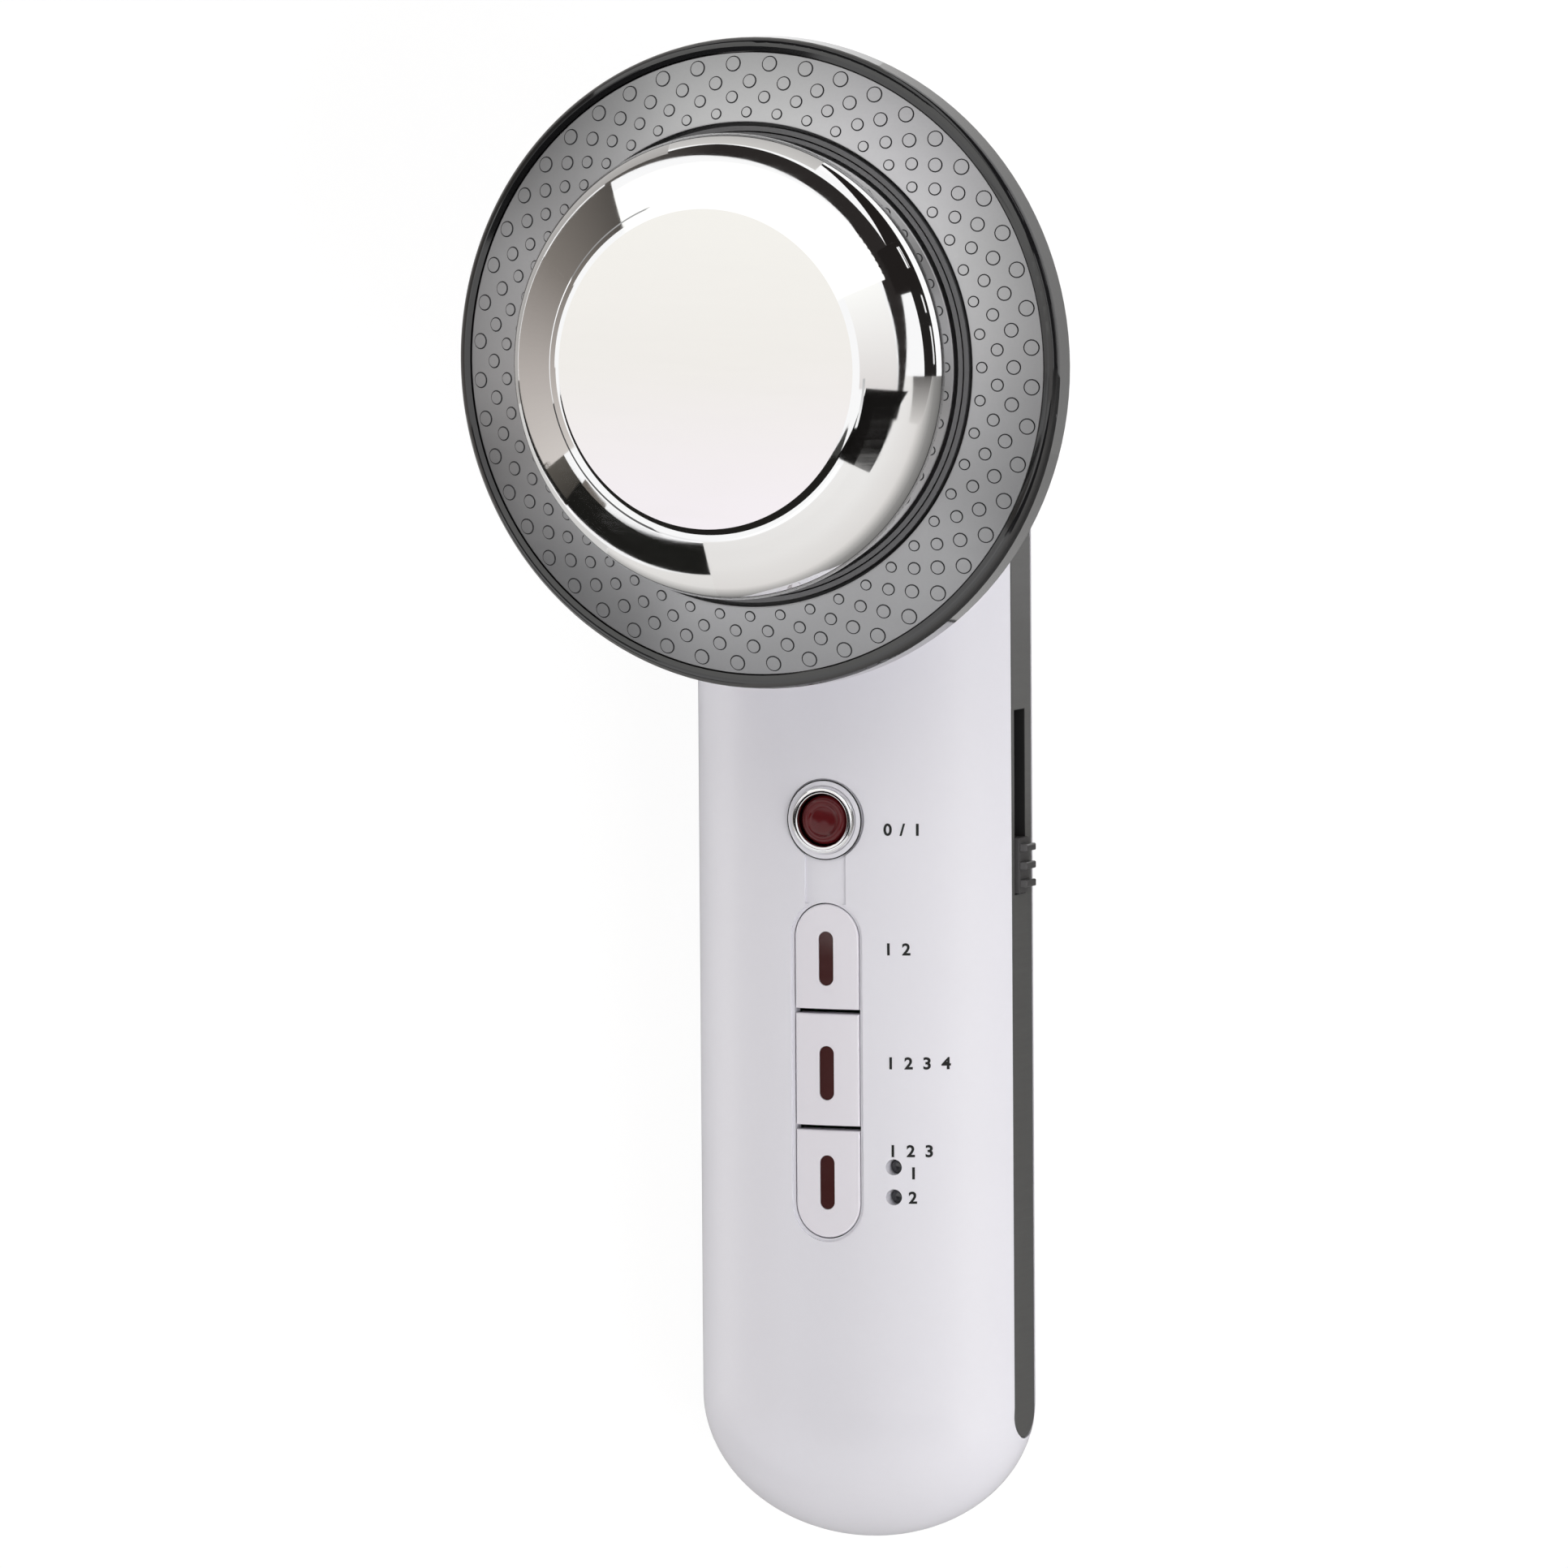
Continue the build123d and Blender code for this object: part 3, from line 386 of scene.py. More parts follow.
# %% Cut the dark strip along the right shoulder and over the top
STRIP, WEDGE = (44, 41, 40), (34, 31, 30)
card("card_strip_low", (-14, 7), (33.0, 33.7, 33.2, 34.8), STRIP, ball=NEAR_BALL)
card("card_strip_middle", (7, 21), (33.2, 34.8, 33.3, 35.6), STRIP, ball=NEAR_BALL)
card("card_strip_right", (21, 45), (33.3, 36.6, 34.6, 37.3), STRIP)
card("card_strip_upper", (45, 90), (34.6, 37.3, 35.3, 44.4), STRIP)
card("card_strip_top", (90, 124), (35.3, 44.4, 36.4, 37.4), STRIP, (92, 88, 84))
card("card_wedge", (20.5, 34), (35, 64), WEDGE)
card("card_wedge_tail", (34, 62), (36.8, 64, 62, 66), WEDGE)
card("card_wedge_slit", (26.5, 32.5), (52.5, 57.5), (252, 252, 252), ball=NEAR_BALL)
card("card_top_band", (62, 104), (46, 82), (206, 204, 201), (184, 182, 180), fade="tilt")

# %% Cut the cards round the flat face
EDGE_LINE = (33, 32, 30)
card("card_face_edge", (262, 329), (0.8, 13, 0.8, 17), EDGE_LINE)
card("card_upper_white", (26, 122), (1.5, 34.4), WHITE, strength=1.12)
card("card_face_edge_left", (190, 262), (0.8, 5, 0.8, 13), EDGE_LINE, ball=NEAR_BALL)

# %% [markdown]
# ## Flags over the window cover
# The sloping cover round the cap is only half a mirror: it gathers light from a wide cone, so a
# card for the cap would dim a good part of it too. Small flags close over the cover, light and
# dark, set its tone from clock angle to clock angle. The law of the mirror places them as well.

# %% Hold small flags over the window cover
COVER_INSIDE, COVER_OUTSIDE = (30, 49.4), (38.6, RIM_TOP)
COVER_FALL = (COVER_INSIDE[1] - COVER_OUTSIDE[1]) / (COVER_OUTSIDE[0] - COVER_INSIDE[0])
COVER_TILT = degrees(atan(COVER_FALL))
FLAG_AWAY, FLAG_COLUMNS, FLAG_ROWS = 0.075, 24, 2


def cover_height(radius):
    """The height of the cover's top at this radius, both in mm."""
    return COVER_INSIDE[1] - (radius - COVER_INSIDE[0]) * COVER_FALL


def flag(name, clocks, chart, far=None, strength=1.0, radii=(31.5, 42.5)):
    """A small card that the cover mirrors between two clock angles and two radii."""
    def place(x, y):
        clock, radius = between(clocks, x), between(radii, y)
        spot = on_head(clock, radius, cover_height(radius))
        return spot + glance(spot, leaning(clock, COVER_TILT)) * FLAG_AWAY

    paint = card_paint(name, chart, far, "clock", strength)
    curved_card(name, FLAG_COLUMNS, FLAG_ROWS, place, paint)


flag("flag_left", (112, 150), (170, 170, 170), (150, 150, 150))
flag("flag_mid_left", (150, 192), (255, 255, 255), (215, 215, 215), strength=1.2)
flag("flag_low_left", (192, 250), (70, 70, 70), (100, 100, 100), radii=(29, 47))
flag("flag_low", (250, 328), (200, 200, 200), (255, 255, 255), strength=1.4)
flag("flag_low_right", (342, 358), (255, 255, 255), (190, 190, 190))
flag("flag_upper_right", (32, 72), (255, 252, 255), strength=1.4)
print("the cover leans out by", round(COVER_TILT, 1), "degrees")

# %% Hang the sheet that the flat face mirrors
SHEET_HALF, SHEET_BEHIND, SHEET_FADE = 0.32, 0.2, 0.1

middle = HEAD + UP * CAP_TOP * MM
way = glance(middle, UP)
lay = way.to_track_quat("Z", "Y").to_matrix().to_4x4()
lay.translation = middle + way * (BALL + SHEET_BEHIND)
bm = bmesh.new()
bmesh.ops.create_grid(bm, x_segments=1, y_segments=1, size=SHEET_HALF, matrix=lay)

sheet_paint = bpy.data.materials.new("face_sheet")
tree = new_tree(sheet_paint)
spot = add(tree, "ShaderNodeTexCoord")
split = add(tree, "ShaderNodeSeparateXYZ", Vector=spot.outputs["Object"])
share = add(tree, "ShaderNodeMapRange", Value=split.outputs["Y"],
            From_Min=lay.translation.y - SHEET_FADE, From_Max=lay.translation.y + SHEET_FADE)
ramp = add(tree, "ShaderNodeValToRGB", Fac=share.outputs[0])
stops = ramp.color_ramp.elements
stops[0].color, stops[1].color = linear(252, 246, 250), linear(251, 249, 243)
stops.new(0.5).color = linear(246, 243, 238)
glow = add(tree, "ShaderNodeEmission", Color=ramp.outputs[0], Strength=1.0)
add(tree, "ShaderNodeOutputMaterial", Surface=glow.outputs[0])
hang(bm, "face_sheet", sheet_paint)

# %% [markdown]
# ## Shared effects
# Two effects come back in many finishes, so each is a node group that is built once. Moulded
# grain is the fine skin that a tool leaves on plastic. Handling marks are the faint smears and
# hair scratches on anything glossy. Both put out only values, and each finish decides how much.

# %% Build the group for moulded grain
def group(name, inputs, outputs):
    """A shader node group with its sockets, and its two end nodes; inputs are (name, value)."""
    made = bpy.data.node_groups.new(name, "ShaderNodeTree")
    for label, value in inputs:
        socket = made.interface.new_socket(label, in_out="INPUT", socket_type="NodeSocketFloat")
        socket.default_value = value
    for label in outputs:
        made.interface.new_socket(label, in_out="OUTPUT", socket_type="NodeSocketFloat")
    print("group", name, "gives", ", ".join(outputs))
    return made, made.nodes.new("NodeGroupInput"), made.nodes.new("NodeGroupOutput")


grain_group, start, end = group("moulded_grain", [("Scale", 900.0), ("Cloud", 35.0)], ["Height", "Tone"])
place_at = add(grain_group, "ShaderNodeTexCoord")
fine = add(grain_group, "ShaderNodeTexNoise", Vector=place_at.outputs["Object"],
           Scale=start.outputs["Scale"], Detail=3.0, Roughness=0.6)
cloud = add(grain_group, "ShaderNodeTexNoise", Vector=place_at.outputs["Object"],
            Scale=start.outputs["Cloud"], Detail=2.0, Roughness=0.5)
speck = add(grain_group, "ShaderNodeMath", {"operation": "MULTIPLY"}, _0=fine.outputs[0], _1=0.35)
blend = add(grain_group, "ShaderNodeMath", {"operation": "MULTIPLY_ADD"},
            _0=cloud.outputs[0], _1=0.65, _2=speck.outputs[0])
grain_group.links.new(fine.outputs[0], end.inputs["Height"])
grain_group.links.new(blend.outputs[0], end.inputs["Tone"])

# %% Build the group for handling marks
marks_group, start, end = group("handling_marks", [("Scale", 60.0), ("Low", 0.04), ("High", 0.12)],
                                ["Roughness", "Height"])
place_at = add(marks_group, "ShaderNodeTexCoord")
turned = add(marks_group, "ShaderNodeMapping", Vector=place_at.outputs["Object"],
             Rotation=(0.0, 0.0, radians(24)), Scale=(1.0, 14.0, 1.0))
hair = add(marks_group, "ShaderNodeTexNoise", Vector=turned.outputs[0],
           Scale=start.outputs["Scale"], Detail=6.0, Roughness=0.75)
smear = add(marks_group, "ShaderNodeTexNoise", Vector=place_at.outputs["Object"],
            Scale=start.outputs["Scale"], Detail=3.0, Roughness=0.55)
both = add(marks_group, "ShaderNodeMath", {"operation": "MULTIPLY"},
           _0=hair.outputs[0], _1=smear.outputs[0])
spread = add(marks_group, "ShaderNodeMapRange", Value=both.outputs[0], From_Min=0.15, From_Max=0.4,
             To_Min=start.outputs["Low"], To_Max=start.outputs["High"])
marks_group.links.new(spread.outputs[0], end.inputs["Roughness"])
marks_group.links.new(hair.outputs[0], end.inputs["Height"])

# %% [markdown]
# ## Finishes
# A finish is one material per slot of the frame. Plastics share one recipe: two close shades that
# drift into each other, a little grain in the surface and marks in the gloss. Metals share a
# second recipe, in which the marks decide how sharp the mirror is.

# %% Define the recipes for plastics and metals
finishes = {}


def body_shader(slot):
    """A new material for a slot with a Principled shader, ready for its nodes."""
    made = bpy.data.materials.new(slot)
    tree = new_tree(made)
    shader = add(tree, "ShaderNodeBsdfPrincipled")
    add(tree, "ShaderNodeOutputMaterial", Surface=shader.outputs[0])
    finishes[slot] = made
    return tree, shader


def two_shades(tree, shader, factor, one, two):
    """Feeds Base Color with a drift between two chart colours."""
    mix = add(tree, "ShaderNodeMix", {"data_type": "RGBA"}, Factor=factor,
              _6=linear(*one), _7=linear(*two))
    tree.links.new(mix.outputs[2], shader.inputs["Base Color"])


def bumped(tree, shader, height, depth, strength):
    """Feeds Normal with a relief of this depth in mm."""
    bump = add(tree, "ShaderNodeBump", Height=height, Distance=depth * MM, Strength=strength)
    tree.links.new(bump.outputs[0], shader.inputs["Normal"])


def plastic(slot, one, two, rough=(0.25, 0.35), grain=900.0, depth=0.004, coat=0.0, level=0.5):
    """Moulded plastic: two close shades, fine grain of this depth in mm, marks in the gloss."""
    tree, shader = body_shader(slot)
    skin = add(tree, "ShaderNodeGroup", {"node_tree": grain_group}, Scale=grain, Cloud=35.0)
    marks = add(tree, "ShaderNodeGroup", {"node_tree": marks_group}, Scale=70.0,
                Low=rough[0], High=rough[1])
    two_shades(tree, shader, skin.outputs["Tone"], one, two)
    tree.links.new(marks.outputs["Roughness"], shader.inputs["Roughness"])
    bumped(tree, shader, skin.outputs["Height"], depth, strength=0.6)
    shader.inputs["Coat Weight"].default_value = coat
    shader.inputs["Coat Roughness"].default_value = 0.05
    shader.inputs["Specular IOR Level"].default_value = level
    return tree, shader


def metal(slot, one, two, rough=(0.15, 0.3), marks_at=60.0, depth=0.00001):
    """Bare metal: two close shades, with hair marks in its gloss and in its skin."""
    tree, shader = body_shader(slot)
    marks = add(tree, "ShaderNodeGroup", {"node_tree": marks_group}, Scale=marks_at,
                Low=rough[0], High=rough[1])
    two_shades(tree, shader, marks.outputs["Height"], one, two)
    tree.links.new(marks.outputs["Roughness"], shader.inputs["Roughness"])
    bumped(tree, shader, marks.outputs["Height"], depth, strength=0.5)
    shader.inputs["Metallic"].default_value = 1.0
    return tree, shader


print("a plastic and a metal are defined")

# %% Mix the finishes that show
plastic("white_shell", (222, 221, 228), (227, 226, 233), rough=(0.3, 0.38), coat=0.25)
plastic("white_key", (225, 222, 229), (230, 227, 234), rough=(0.3, 0.36), coat=0.25)
plastic("grey_band", (79, 79, 78), (85, 85, 84), rough=(0.45, 0.55), grain=1500.0, depth=0.012, level=0.25)
plastic("dark_knob", (62, 61, 62), (72, 71, 72), rough=(0.3, 0.42), coat=0.3)
plastic("black_plastic", (18, 18, 18), (26, 25, 25), rough=(0.35, 0.5))
plastic("red_window", (56, 22, 23), (70, 36, 34), rough=(0.1, 0.18), coat=0.3)
plastic("red_lens", (78, 14, 18), (92, 22, 26), rough=(0.08, 0.14), coat=0.3, level=0.25)
plastic("lamp_lens", (40, 40, 44), (54, 54, 58), rough=(0.12, 0.2), coat=0.5)
plastic("smoked_bezel", (20, 20, 21), (28, 28, 30), rough=(0.05, 0.1), depth=0.0005, coat=0.8)
plastic("grey_rubber", (96, 96, 98), (108, 108, 110), rough=(0.5, 0.62), depth=0.01)
plastic("black_rubber", (22, 22, 23), (30, 30, 31), rough=(0.55, 0.7), depth=0.01)
plastic("black_ink", (20, 20, 20), (26, 26, 26), rough=(0.4, 0.5), depth=0.001, level=0.3)
metal("polished_steel", (246, 246, 247), (250, 250, 250), rough=(0.02, 0.06), marks_at=45.0)
metal("chrome_trim", (242, 242, 244), (248, 248, 249), rough=(0.03, 0.06), marks_at=20.0, depth=0.000001)
# The sheet metal is near black: painted shade, so that the slide's plate seen through the slot reads as
# the dark inside of the slot.
metal("sheet_metal", (34, 34, 34), (44, 44, 44), rough=(0.35, 0.5))
metal("screw_steel", (120, 118, 116), (150, 148, 146), rough=(0.25, 0.4))
metal("pin_metal", (205, 200, 190), (222, 218, 208))
print("finishes so far:", ", ".join(sorted(finishes)))

# %% [markdown]
# ## The silvered cover
# The window cover is plastic under a thin silver coat, so it is nearly a metal, but a soft one.
# Towards the rim of the head its colour is darkened: painted shade, for the dimmer light that the
# outer part of the cover gathers. A painted picture of rings could do that. Here the distance from
# the middle of the head is measured at each point, mapped to a share, and multiplied into the colour,
# which fits at any size.

# %% Silver the cover and its pips, with painted shade towards the rim
SHADE_START_AT, RIM_SHADE_SHARE = 31, 0.68
COVER_LEVEL = 48


def silvered(slot, one, two, depth):
    """Plastic under a soft coat of silver."""
    tree, shader = plastic(slot, one, two, rough=(0.28, 0.34), grain=2600.0, depth=depth)
    shader.inputs["Metallic"].default_value = 0.9
    return tree, shader


# The walls of the pips get a far darker colour than the cover: painted shade, for the dark outline round
# each pip.
silvered("pip_wall_painted_shade", (50, 50, 52), (60, 60, 62), depth=0.001)
tree, shader = silvered("grey_window", (176, 176, 178), (192, 192, 194), depth=0.002)
spot = add(tree, "ShaderNodeTexCoord")
# Painted shade: from near the cap out to the rim of the cover, its colour is multiplied down to a share of
# its full value.
reach = add(tree, "ShaderNodeVectorMath", {"operation": "DISTANCE"},
            _0=spot.outputs["Object"], _1=HEAD + UP * COVER_LEVEL * MM)
rim_shade = add(tree, "ShaderNodeMapRange", Value=reach.outputs["Value"],
           From_Min=SHADE_START_AT * MM, From_Max=COVER_OUTSIDE[0] * MM, To_Min=1.0, To_Max=RIM_SHADE_SHARE)
rim_shaded = add(tree, "ShaderNodeMix", {"data_type": "RGBA", "blend_type": "MULTIPLY"}, Factor=1.0,
            _6=shader.inputs["Base Color"].links[0].from_socket, _7=rim_shade.outputs[0])
tree.links.new(rim_shaded.outputs[2], shader.inputs["Base Color"])
# The share printed below is how far the painted shade darkens the rim of the cover.
print("at the rim the coat mirrors", RIM_SHADE_SHARE, "of its full light")

# %% [markdown]
# ## The parts inside
# The parts inside show only when the case is opened, but they get their own finishes too. The
# copper coil shows its turns as a wave along its height, darker between the turns as painted shade,
# and the circuit boards show light tracks on green, for which the joints of a brick pattern serve.

# %% Mix the finishes of the parts inside
BOARD_GREENS = (22, 70, 42), (30, 86, 52)
for slot_name, shades in {
    "lamp_package": ((226, 222, 200), (238, 236, 220)),
    "sleeve": ((28, 30, 44), (36, 38, 56)),
    "wire_black": ((24, 24, 24), (32, 32, 32)),
    "wire_red": ((150, 26, 24), (168, 36, 32)),
    "ferrite": ((50, 48, 48), (62, 60, 60)),
    "ceramic": ((214, 206, 188), (226, 220, 204)),
}.items():
    plastic(slot_name, *shades, rough=(0.4, 0.6))
metal("sink_metal", (150, 152, 156), (172, 174, 178), rough=(0.35, 0.5))

tree, shader = metal("copper_coil", (186, 110, 70), (206, 130, 88), rough=(0.25, 0.4))
spot = add(tree, "ShaderNodeTexCoord")
turn_wave_and_shade = add(tree, "ShaderNodeTexWave", {"bands_direction": "Z"}, Vector=spot.outputs["Object"],
            Scale=900.0, Distortion=0.4)
# The colour follows the wave, from dark to light in every turn: painted shade in the grooves between the
# wires.
two_shades(tree, shader, turn_wave_and_shade.outputs["Fac"], (122, 62, 36), (214, 138, 94))
bumped(tree, shader, turn_wave_and_shade.outputs["Fac"], depth=0.05, strength=0.6)

tree, shader = plastic("circuit_board", *BOARD_GREENS, rough=(0.4, 0.6))
spot = add(tree, "ShaderNodeTexCoord")
tracks = add(tree, "ShaderNodeTexBrick", {"offset": 0.5, "squash": 1.0}, Vector=spot.outputs["Object"],
             Color1=linear(*BOARD_GREENS[0]), Color2=linear(*BOARD_GREENS[1]),
             Mortar=linear(58, 122, 72), Scale=260.0, Mortar_Size=0.06, Brick_Width=1.6, Row_Height=0.5)
tree.links.new(tracks.outputs["Color"], shader.inputs["Base Color"])
print(len(finishes), "finishes in all")

# %% Give every node its finish
for name, node in nodes.items():
    for place_slot in node.material_slots:
        slot_name = place_slot.material.name.split(".")[0] if place_slot.material else None
        if slot_name in finishes:
            place_slot.material = finishes[slot_name]
        else:
            print("no finish for", name, slot_name)
print(len(nodes), "nodes dressed")

# %% [markdown]
# ## The treatment cap
# The cap is a shell of polished steel: a flat face, a cone, a soft shoulder and a straight foot.
# It could be cut from a cylinder, but it is really a turned part, so it is modelled the way a
# lathe works: half of its outline is drawn, the corners are rounded, and the outline is spun.

# %% Define how a turned part is made
def turned_part(name, body, slot_name, outline, centre=HEAD, steps=192, closed=True, arc=10):
    """Spins an outline round an upright axis. Each corner is its radius and height in mm, and
    where it is rounded, how far it is cut back along its sides first."""
    bm = bmesh.new()
    ring = [bm.verts.new((centre.x + corner[0] * MM, centre.y, corner[1] * MM)) for corner in outline]
    pairs = list(zip(ring, ring[1:])) + ([(ring[-1], ring[0])] if closed else [])
    for pair in pairs:
        bm.edges.new(pair)
    for v, corner in zip(ring, outline):
        if len(corner) == 3:
            bmesh.ops.bevel(bm, geom=[v], offset=corner[2] * MM, segments=arc, profile=0.5,
                            affect="VERTICES", material=-1, offset_type="OFFSET")
    bmesh.ops.spin(bm, geom=bm.verts[:] + bm.edges[:], cent=centre, axis=UP,
                   angle=2 * pi, steps=steps, use_merge=True)
    bmesh.ops.remove_doubles(bm, verts=bm.verts, dist=0.0005 * MM)
    bmesh.ops.recalc_face_normals(bm, faces=bm.faces)
    piece = show(bm, name, finishes[slot_name])
    piece.modifiers.new("even_shading", "WEIGHTED_NORMAL").weight = 80
    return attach(piece, body)


print("the lathe is ready")

# %% Turn the cap
CAP_RADIUS, CAP_WALL = 28.8, 1.0
FLANGE_RADIUS, FLANGE_TOP, FLANGE_FOOT = 30.4, 46.9, 45.7
cap = turned_part(
    "polished_cap", "wand", "polished_steel",
    [(0, CAP_TOP), (20.58, CAP_TOP, 0.956), (23.4, 60.82, 1.3), (26.0, 59.12, 1.4),
     (CAP_RADIUS, 57.0, 1.99), (CAP_RADIUS, FLANGE_TOP, 0.3), (FLANGE_RADIUS, FLANGE_TOP),
     (FLANGE_RADIUS, FLANGE_FOOT), (CAP_RADIUS - CAP_WALL, FLANGE_FOOT),
     (CAP_RADIUS - CAP_WALL, 56.3, 0.5), (20.28, CAP_TOP - CAP_WALL), (0, CAP_TOP - CAP_WALL)])
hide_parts("treatment_cap")

# %% [markdown]
# ## The window cover and its pips
# Round the cap lies a sloping ring of grey plastic with four rows of small flat pips. The ring is
# turned like the cap. One pip is made once, laid on the slope, and copied round the ring by the
# spin operator, which can leave copies instead of a skin. Every second row starts half a step on.

# %% Turn the cover
SKIRT_RADIUS, SKIRT_FOOT = 36.8, 43.5
cover = turned_part(
    "ring_cover", "wand", "grey_window",
    [(*COVER_INSIDE, 0.2), (*COVER_OUTSIDE, 0.15), (COVER_OUTSIDE[0], SKIRT_FOOT),
     (SKIRT_RADIUS, SKIRT_FOOT), (SKIRT_RADIUS, 45.74), (COVER_INSIDE[0], 47.6)],
    steps=160, arc=4)
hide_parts("window_cover")

# %% Raise the pips
PIP_STEPS = 48
PIP_ROWS = [(31.2, 0.72), (33.1, 0.82), (35.0, 0.92), (37.2, 1.02)]
PIP_RISE, PIP_WALL = 0.1, 0.15
bm = bmesh.new()
for row, (radius, size) in enumerate(PIP_ROWS):
    half_step = row % 2 * pi / PIP_STEPS
    lay = (Matrix.Translation(HEAD) @ Matrix.Rotation(half_step, 4, "Z")
           @ Matrix.Translation(Vector((radius, 0, cover_height(radius))) * MM)
           @ Matrix.Rotation(radians(COVER_TILT), 4, "Y"))
    made = bmesh.ops.create_cone(bm, cap_ends=True, segments=18, radius1=(size + PIP_WALL) * MM,
                                 radius2=(size - PIP_WALL) * MM, depth=2 * PIP_RISE * MM, matrix=lay)
    edges = {e for v in made["verts"] for e in v.link_edges}
    faces = {f for v in made["verts"] for f in v.link_faces}
    bmesh.ops.spin(bm, geom=[*made["verts"], *edges, *faces], cent=HEAD, axis=UP,
                   angle=2 * pi * (PIP_STEPS - 1) / PIP_STEPS, steps=PIP_STEPS - 1, use_duplicate=True)
bmesh.ops.recalc_face_normals(bm, faces=bm.faces)
# The steep side faces of the pips take the second, darker colour: painted shade round each pip.
for face in bm.faces:
    face.material_index = 1 if len(face.verts) == 4 else 0
pips = show(bm, "cover_pips", finishes["grey_window"])
pips.data.materials.append(finishes["pip_wall_painted_shade"])
pips.data.set_sharp_from_angle(angle=radians(25))
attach(pips, "wand")
print(len(PIP_ROWS) * PIP_STEPS, "pips")

# %% [markdown]
# ## The power button
# The button is a clear red cap in a bright collar. Both are turned parts like the cap of the head.
# The collar stands in a low white flange with a thin black ring round it: painted shade for the dark
# gap round the collar. The button has a raised rim round a sunk disc, so that a finger finds its middle.

# %% Turn the collar and the button
POWER = Vector((0.0, -3.2, 0.0)) * MM
SEAT, COLLAR_TOP = 25.65, 26.8
BORE, NECK, COLLAR = 3.3, 4.0, 4.3
RING_IN, RING_STEP, RING_OUT = 4.32, 4.7, 4.92
SHADE_RING_IN, SHADE_RING_OUT = 4.93, 5.07
PLUG, BUTTON_FOOT, DISC_TOP = 3.12, 4.4, 26.35
collar = turned_part(
    "power_collar", "wand", "chrome_trim",
    [(BORE, 22.5), (NECK, 22.5), (NECK, SEAT), (COLLAR, SEAT), (COLLAR, 26.35, 0.1),
     (4.08, COLLAR_TOP, 0.14), (3.42, COLLAR_TOP, 0.08), (BORE, 26.5, 0.08)],
    centre=POWER, steps=96, arc=6)
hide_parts("power_ring")
turned_part("collar_flange", "wand", "white_shell",
            [(RING_IN, SEAT), (RING_STEP, SEAT), (RING_STEP, 25.97), (RING_OUT, 25.97),
             (RING_OUT, 26.1, 0.05), (RING_IN, 26.2, 0.05)], centre=POWER, steps=96, arc=3)
# A black ring where the gap round the collar lies in shade: painted shade.
turned_part("collar_shade_ring", "wand", "black_rubber",
            [(SHADE_RING_IN, 25.9), (SHADE_RING_OUT, 25.9), (SHADE_RING_OUT, 26.04, 0.03), (SHADE_RING_IN, 26.06, 0.03)],
            centre=POWER, steps=96, arc=2)
button = turned_part(
    "power_cap", "power_button", "red_lens",
    [(0, DISC_TOP), (1.85, DISC_TOP, 0.3), (2.15, 26.65, 0.2), (2.6, 26.65, 0.22), (PLUG, 26.05, 0.3),
     (PLUG, 22.2), (BUTTON_FOOT, 22.2), (BUTTON_FOOT, 21.0), (0, 21.0)],
    centre=POWER, steps=96, closed=False, arc=5)
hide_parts("power_button")

# %% [markdown]
# ## The indicator lamps
# Two small lamps sit at the bottom of deep round holes, so that each hole shows a bright wall on
# one side and a dark floor on the other. Each lamp is a small turned dome.

# %% Set the indicator lamps low in their holes
LAMP_X, LAMP_ROWS = 8.7, (-46.95, -50.75)
DOME_RADIUS, DOME_EDGE, DOME_TOP = 0.94, 23.75, 23.9
lamp_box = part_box("indicator_lamps")
lamp_foot = lamp_box[0][2] / MM
for count, y in enumerate(LAMP_ROWS, start=1):
    dome = turned_part(
        f"indicator_dome_{count}", "wand", "lamp_lens",
        [(0, DOME_TOP), (DOME_RADIUS, DOME_EDGE, 0.5), (DOME_RADIUS, lamp_foot), (0, lamp_foot)],
        centre=Vector((LAMP_X, y, 0)) * MM, steps=32, closed=False, arc=4)
    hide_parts("indicator_lamps")
print("indicator lamps in mm:", in_mm(lamp_box))

# %% [markdown]
# ## The slot of the slide
# The knob of the slide runs in a slot of the grey band. The slot is lined with a thin black sleeve:
# painted shade, so that the inside of the slot reads dark. A rectangle is drawn in the plane of the
# slot, drawn out sideways and given a wall, which leaves the knob its play.

# %% Line the slot
SLOT_MIDDLE = Vector((17.6, -1.3, 13.45)) * MM
SLOT_LONG, SLOT_TALL = 23.4, 3.6
SLEEVE_DEEP, SLEEVE_PLAY, SLEEVE_WALL = 3.8, 0.04, 0.04
bm = bmesh.new()
stand = Matrix.Rotation(radians(90), 4, "Y")
half_long, half_tall = (SLOT_LONG / 2 - SLEEVE_PLAY) * MM, (SLOT_TALL / 2 - SLEEVE_PLAY) * MM
stretch = Matrix.Diagonal((1, half_long, half_tall, 1))
bmesh.ops.create_grid(bm, x_segments=1, y_segments=1, size=1.0,
                      matrix=Matrix.Translation(SLOT_MIDDLE) @ stretch @ stand)
bmesh.ops.delete(bm, geom=bm.faces[:], context="FACES_ONLY")
drawn = bmesh.ops.extrude_edge_only(bm, edges=bm.edges[:])
moved = [item for item in drawn["geom"] if isinstance(item, bmesh.types.BMVert)]
bmesh.ops.translate(bm, verts=moved, vec=(SLEEVE_DEEP * MM, 0, 0))
bmesh.ops.recalc_face_normals(bm, faces=bm.faces)
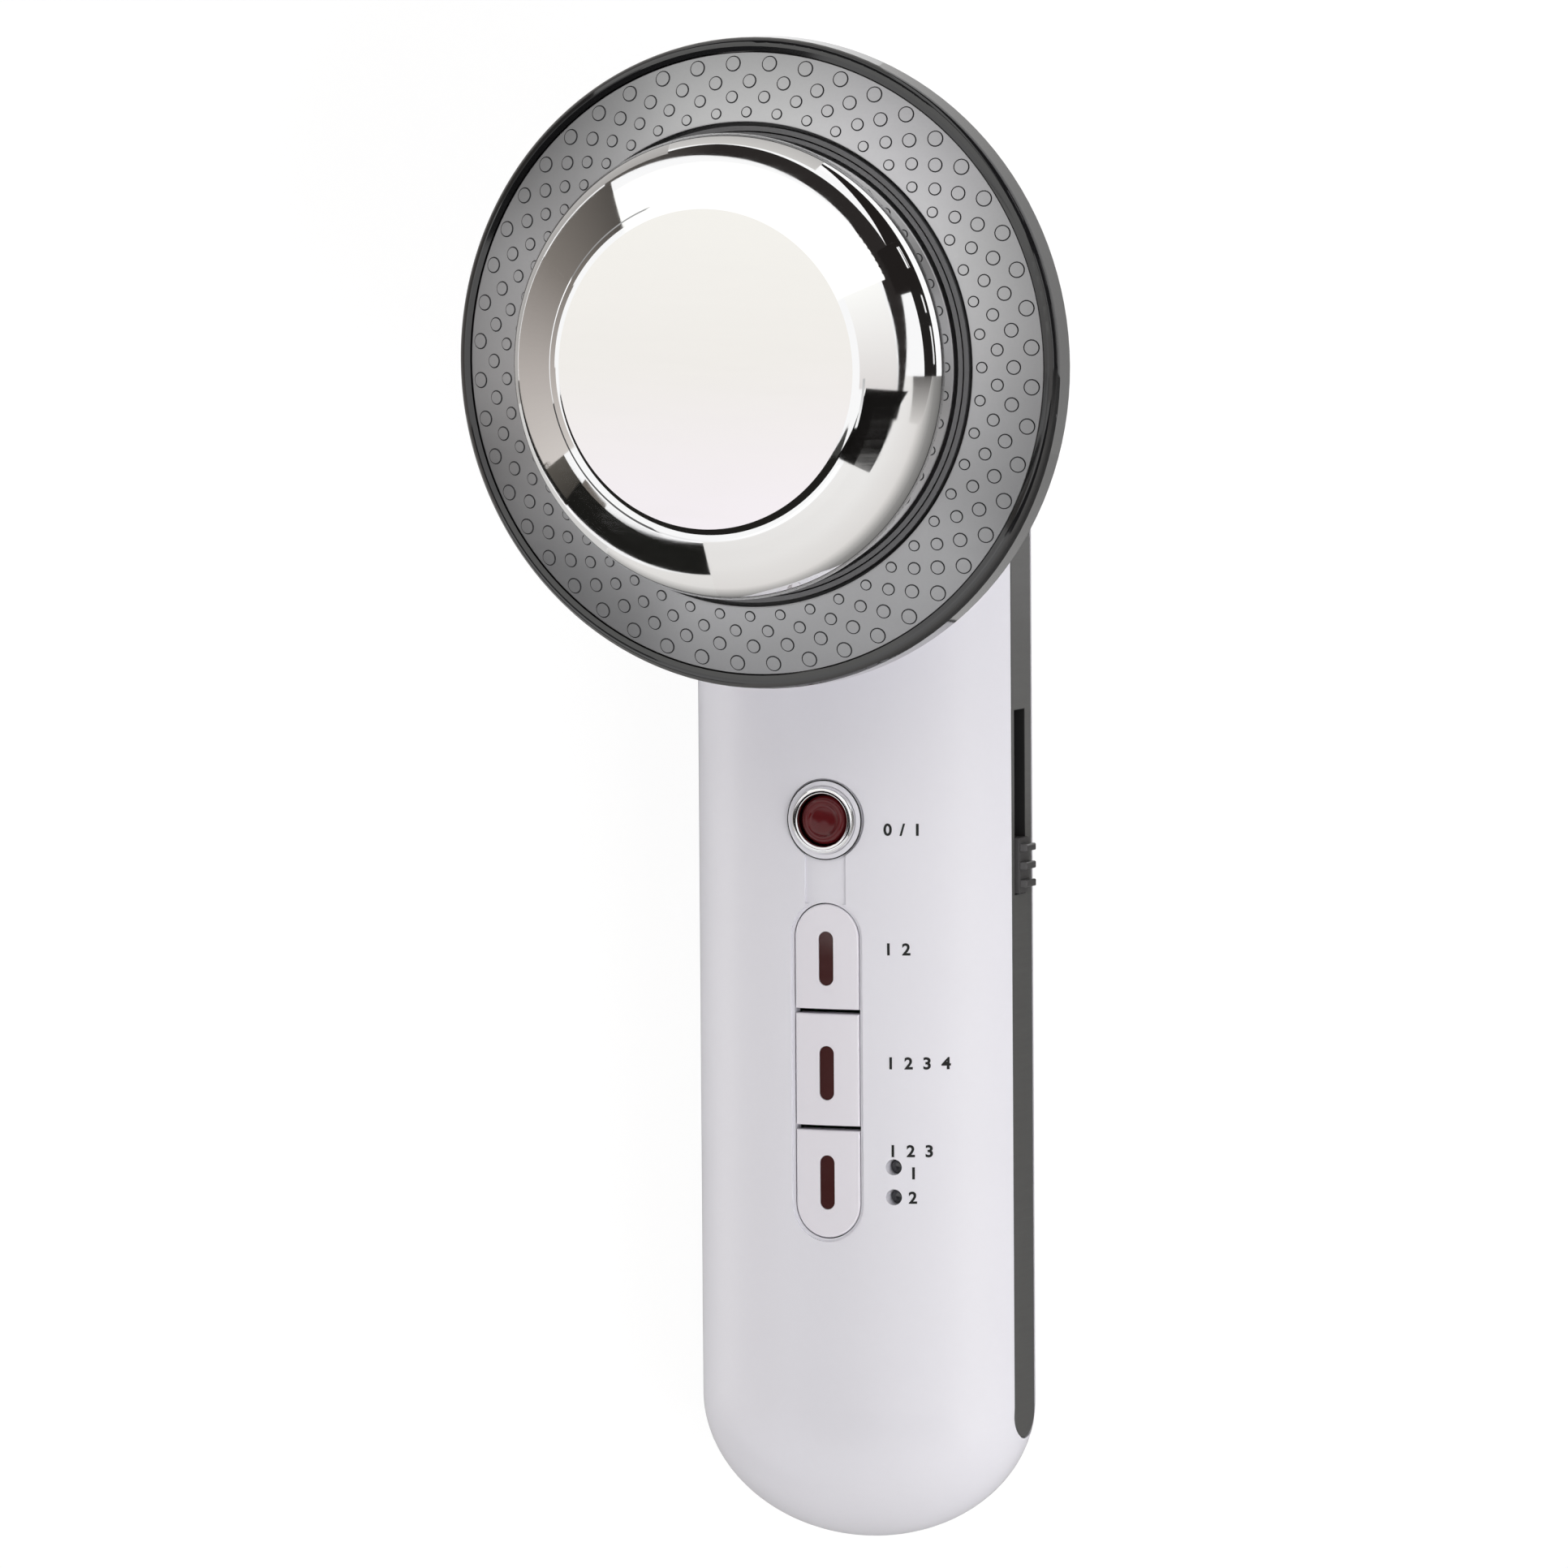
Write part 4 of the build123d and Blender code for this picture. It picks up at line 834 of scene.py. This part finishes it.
bmesh.ops.solidify(bm, geom=bm.faces[:], thickness=SLEEVE_WALL * MM)
bmesh.ops.recalc_face_normals(bm, faces=bm.faces)
# The sleeve is black so that the slot reads dark: painted shade inside the slot.
sleeve = show(bm, "slot_shade_sleeve", finishes["black_rubber"])
sleeve.data.shade_flat()
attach(sleeve, "wand")
print("the sleeve measures", [round(c / MM, 2) for c in sleeve.dimensions], "mm")

# %% [markdown]
# ## Printed marks
# Beside the controls stand small black figures, as on a dial. They are ink on the shell, so they
# are flat: each figure is a text made into a mesh, laid over its place and dropped onto the skin
# of the front shell, a few hundredths of a millimetre above it.

# %% Print the figures
FIGURE_HEIGHT, FIGURE_SHARE = 1.45, 0.7
INK_SPREAD, INK_LIFT = 0.06, 0.03
CAST_FROM = 0.1
MARKS = [("mark_power", "0 / 1", 7.7, -5.0, 1.2), ("mark_key_1", "1  2", 7.7, -20.1, 1.0),
         ("mark_key_2", "1  2  3  4", 7.9, -34.5, 1.0), ("mark_key_3", "1  2  3", 8.1, -45.6, 1.0),
         ("mark_lamp_1", "1", 10.6, -48.4, 1.0), ("mark_lamp_2", "2", 10.5, -51.5, 1.0)]
shell = nodes["front_shell"]


def print_mark(name, words, x, y, gap):
    """Black figures that start at x on the line y, in mm, dropped onto the shell from above."""
    text = bpy.data.curves.new(name, "FONT")
    text.body, text.size, text.space_character = words, FIGURE_HEIGHT / FIGURE_SHARE * MM, gap
    text.offset = INK_SPREAD * MM
    holder = bpy.data.objects.new(name + "_text", text)
    bpy.context.scene.collection.objects.link(holder)
    bpy.context.view_layer.update()
    flat = bpy.data.meshes.new_from_object(holder)
    bpy.data.objects.remove(holder)
    bm = bmesh.new()
    bm.from_mesh(flat)
    bmesh.ops.triangulate(bm, faces=bm.faces)
    bmesh.ops.translate(bm, verts=bm.verts, vec=(x * MM, y * MM, 0))
    for v in bm.verts:
        _, point, _, _ = shell.ray_cast((v.co.x, v.co.y, CAST_FROM), -UP)
        v.co.z = point.z + INK_LIFT * MM
    piece = show(bm, name, finishes["black_ink"])
    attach(piece, "wand")


for mark in MARKS:
    print_mark(*mark)
